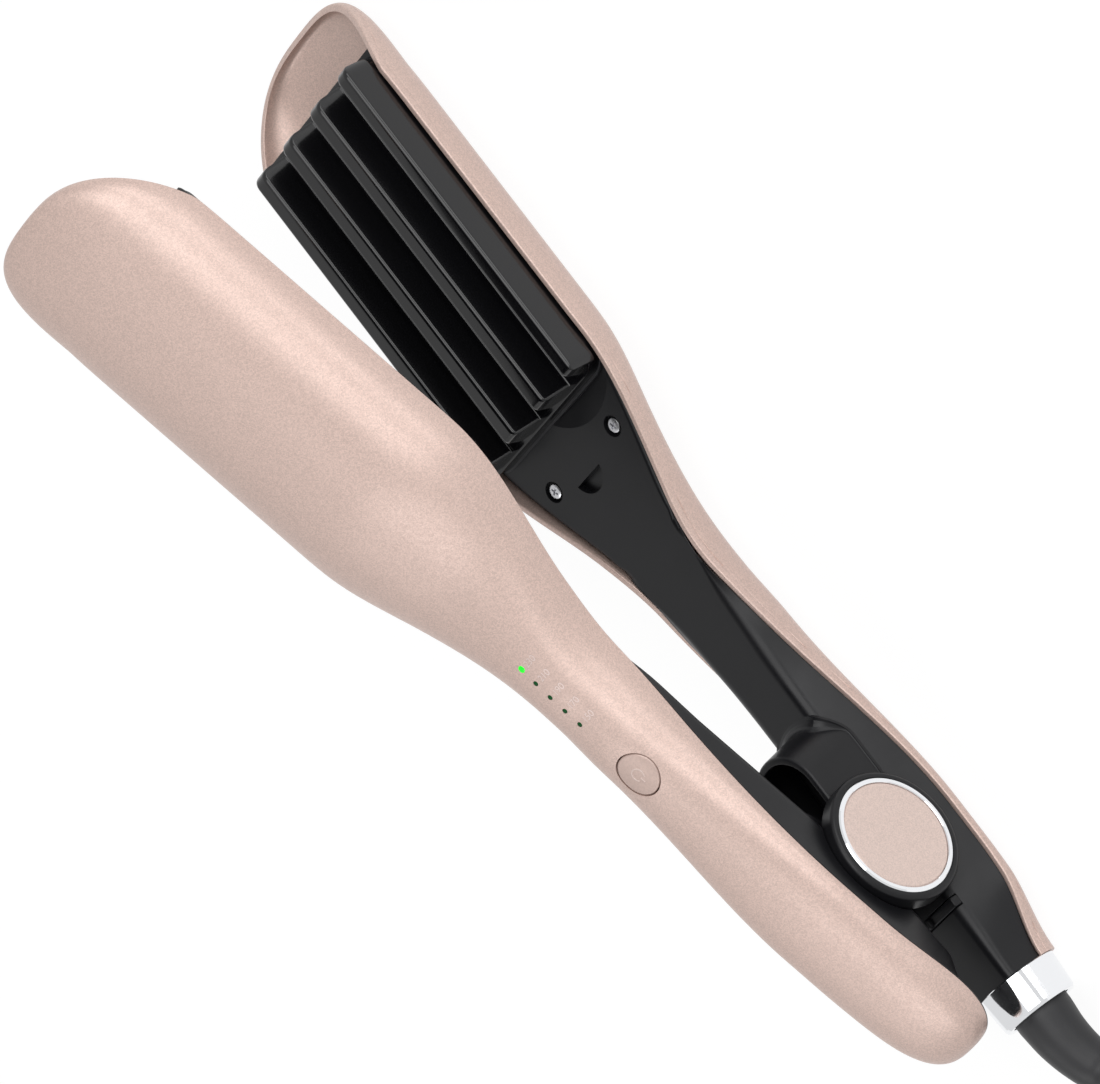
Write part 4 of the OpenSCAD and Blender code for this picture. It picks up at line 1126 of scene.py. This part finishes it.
def hood_section(s):
    """The hood's wall as (out, z) points: its foot flares on the flat face and runs down the slopes."""
    share = ease((abs(s) - 0.2) / 0.25)
    foot = 3.0 - 2.6 * share
    base = -FACE_DEPTH - 0.02 - 4.6 * share
    turns = [math.radians(a) for a in range(270, 179, -15)]
    section = [(foot + foot * math.cos(a), base + foot + foot * math.sin(a)) for a in turns]
    r = HOOD_ROUND
    for centre, start in ((-r, 0), (r - HOOD_WALL, 90)):
        for k in range(6):
            a = math.radians(start + 18 * k)
            section.append((centre + r * math.cos(a), HOOD_TOP - r + r * math.sin(a)))
    return section + [(-HOOD_WALL, base - 0.8), (foot, base - 0.8)]


def hood_wall(place):
    """The U-shaped wall in front of the hinge: coarse along its arms, fine round its bend."""
    arm = [i / 8 for i in range(5, 9)]
    places = [-s for s in reversed(arm)] + [-0.5 + i / 40 for i in range(41)] + arm
    return loft("hood", [[hood_point(s, out, z) for out, z in hood_section(s)] for s in places], place)


EAR_FOOT = -9.8
CHANNEL_HALF = 9.8
CHANNEL_FLOOR = -10.7
REAR_BORE_GAP = 0.02
REAR_BORE_HALF = 12.7
REAR_CAP_GAP = 0.15
KNUCKLE_HALF = 6.4
FRONT_BORE_GAP = 0.06
FRONT_BORE_HALF = 7.4
FRONT_CAP_GAP = 0.35
SPRING_ROOM_R = 5.7
SPRING_ROOM_HALF = 3.6
WEB_OUTLINE = [(-KNUCKLE_R, 0), (-KNUCKLE_R, -11), (24, -11), (21, -5), (KNUCKLE_R, 0)]


def add_rear_liner(place):
    """The rear liner with the hood, the hinge ears and the lock bar's channel."""
    start = -COLLAR_X + COLLAR_GAP
    xs = [start + (LINER_TIP - start) * i / 110 for i in range(111)]
    liner = loft("rear_liner_skin", [liner_section(x, True) for x in xs], place)
    turns = [math.pi * k / 40 for k in range(41)]
    ear = [(KNUCKLE_R * math.cos(a), KNUCKLE_R * math.sin(a)) for a in turns]
    ear += [(-KNUCKLE_R, EAR_FOOT), (KNUCKLE_R, EAR_FOOT)]
    hood = hood_wall(place)
    right_ear = across("ear", ear, -EAR_OUT, -EAR_IN, place)
    left_ear = across("ear", ear, EAR_IN, EAR_OUT, place)
    cut(liner, hood, right_ear, left_ear, operation="UNION")
    x0, x1 = LOCK_FROM - EDGE_GAP, LOCK_TO + EDGE_GAP
    channel = block("channel", x0, x1, -CHANNEL_HALF, CHANNEL_HALF, CHANNEL_FLOOR, FACE_OVER, place)
    hole = circle(0, 0, PIN_R + REAR_BORE_GAP, 48)
    bore = across("bore", hole, -REAR_BORE_HALF, REAR_BORE_HALF, place)
    cut(liner, channel, bore, *shared_cutters(place), *cap_cutters(REAR_CAP_GAP, place))
    finish_liner(liner, "rear_arm", "rear_liner")


def add_front_liner(place):
    """The front liner with the hinge knuckle, open for the spring."""
    xs = [-46.5 + 22.5 * (1 - math.cos(math.pi / 2 * i / 24)) for i in range(24)]
    xs += [-24 + (LINER_TIP + 24) * i / 102 for i in range(103)]
    liner = loft("front_liner_skin", [liner_section(x, False) for x in xs], place)
    knuckle = circle(0, 0, KNUCKLE_R, 96)
    barrel = across("knuckle", knuckle, -KNUCKLE_HALF, KNUCKLE_HALF, place)
    web = across("web", WEB_OUTLINE, 0.02 - KNUCKLE_HALF, KNUCKLE_HALF - 0.02, place)
    cut(liner, barrel, web, operation="UNION")
    hole = circle(0, 0, PIN_R + FRONT_BORE_GAP, 48)
    bore = across("bore", hole, -FRONT_BORE_HALF, FRONT_BORE_HALF, place)
    room = across("room", circle(0, 0, SPRING_ROOM_R), -SPRING_ROOM_HALF, SPRING_ROOM_HALF, place)
    slot = block("slot", -9, 4.6, -SPRING_ROOM_HALF, SPRING_ROOM_HALF, 0, 9, place)
    cut(liner, bore, room, slot, *shared_cutters(place), *cap_cutters(FRONT_CAP_GAP, place))
    finish_liner(liner, "front_arm", "front_liner")


def finish_liner(liner, body, target):
    """Shades and dresses a liner and puts it on its arm."""
    shade(liner, 12)
    weigh_normals(liner)
    dress(liner, "black_liner")
    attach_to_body(liner, body)
    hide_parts(target)


# ---- stage -------------------------------------------------------------------------------------
FLOOR_HALF = 6.0
FLOOR_Z = -0.0004
FLOOR_SHOWN = 0.86
FLOOR_GLOW = 1.08
FLOOR_TONE = (0.8, 0.8, 0.8, 1)
SURROUND_LIGHT = 0.34
LIGHT_TARGET = Vector((0.03, 0, 0.04))
LIGHT_DISTANCE = 1.6
LIGHTS = [
    ("key", (0.1, -0.75, 1.0), (1.2, 1.2), 11),
    ("fill", (0.3, -1.0, 0.15), (1.4, 0.7), 8),
    ("rim", (-0.7, 0.5, 1.0), (1.2, 0.6), 5),
]


def seen_directly(tree, share):
    """A share for camera, glossy and transmitted rays, and none for the light on the object."""
    seen = tree.nodes.new("ShaderNodeLightPath")
    total = None
    for ray in ("Is Camera Ray", "Is Glossy Ray", "Is Transmission Ray"):
        step = tree.nodes.new("ShaderNodeMath")
        step.operation = "MULTIPLY_ADD"
        step.use_clamp = True
        tree.links.new(seen.outputs[ray], step.inputs[0])
        step.inputs[1].default_value = share
        if total is None:
            step.inputs[2].default_value = 0
        else:
            tree.links.new(total, step.inputs[2])
        total = step.outputs[0]
    return total


def mixed(tree, share, unseen, shown):
    """A mix of two shaders by how directly they are seen."""
    mix = tree.nodes.new("ShaderNodeMixShader")
    tree.links.new(seen_directly(tree, share), mix.inputs["Fac"])
    tree.links.new(unseen.outputs[0], mix.inputs[1])
    tree.links.new(shown.outputs[0], mix.inputs[2])
    return mix.outputs[0]


def add_floor():
    """A pale floor that looks almost white and still takes the object's shadow."""
    mesh = bpy.data.meshes.new("floor")
    corners = ((-1, -1), (1, -1), (1, 1), (-1, 1))
    mesh.from_pydata([(x * FLOOR_HALF, y * FLOOR_HALF, FLOOR_Z) for x, y in corners], [], [(0, 1, 2, 3)])
    floor = bpy.data.objects.new("floor", mesh)
    bpy.context.scene.collection.objects.link(floor)
    made = bpy.data.materials.new("floor_white")
    made.use_nodes = True
    tree = made.node_tree
    tree.nodes.clear()
    out = tree.nodes.new("ShaderNodeOutputMaterial")
    pale = tree.nodes.new("ShaderNodeBsdfDiffuse")
    pale.inputs["Color"].default_value = FLOOR_TONE
    white = tree.nodes.new("ShaderNodeEmission")
    white.inputs["Strength"].default_value = FLOOR_GLOW
    tree.links.new(mixed(tree, FLOOR_SHOWN, pale, white), out.inputs["Surface"])
    mesh.materials.append(made)


def add_surround():
    """A world that the camera sees as plain white and that lights the object softly."""
    bpy.context.scene.view_settings.view_transform = "Standard"
    world = bpy.data.worlds.new("surround")
    bpy.context.scene.world = world
    world.use_nodes = True
    tree = world.node_tree
    soft = tree.nodes["Background"]
    soft.inputs["Color"].default_value = (1, 1, 1, 1)
    soft.inputs["Strength"].default_value = SURROUND_LIGHT
    white = tree.nodes.new("ShaderNodeBackground")
    white.inputs["Strength"].default_value = 1
    tree.links.new(mixed(tree, 1.0, soft, white), tree.nodes["World Output"].inputs["Surface"])


def area_light(name, towards, size, power):
    """A soft panel that faces the object from a direction."""
    light = bpy.data.lights.new(name, "AREA")
    light.shape = "RECTANGLE"
    light.size, light.size_y = size
    light.energy = power
    obj = bpy.data.objects.new(name, light)
    direction = Vector(towards).normalized()
    obj.location = LIGHT_TARGET + direction * LIGHT_DISTANCE
    obj.rotation_mode = "QUATERNION"
    obj.rotation_quaternion = (-direction).to_track_quat("-Z", "Y")
    bpy.context.scene.collection.objects.link(obj)


def add_lights():
    for name, towards, size, power in LIGHTS:
        area_light(name, towards, size, power)


add_camera()
dress_cad_nodes()
add_cord()
add_relief()
add_casings()
add_plate("rear_ribs", "rear_arm", "rear_plate", REAR)
add_plate("front_ribs", "front_arm", "front_plate", FRONT)
add_rear_liner(REAR)
add_front_liner(FRONT)
add_button()
add_lamps()
add_numbers()
add_screws()
add_lock()
add_floor()
add_surround()
add_lights()
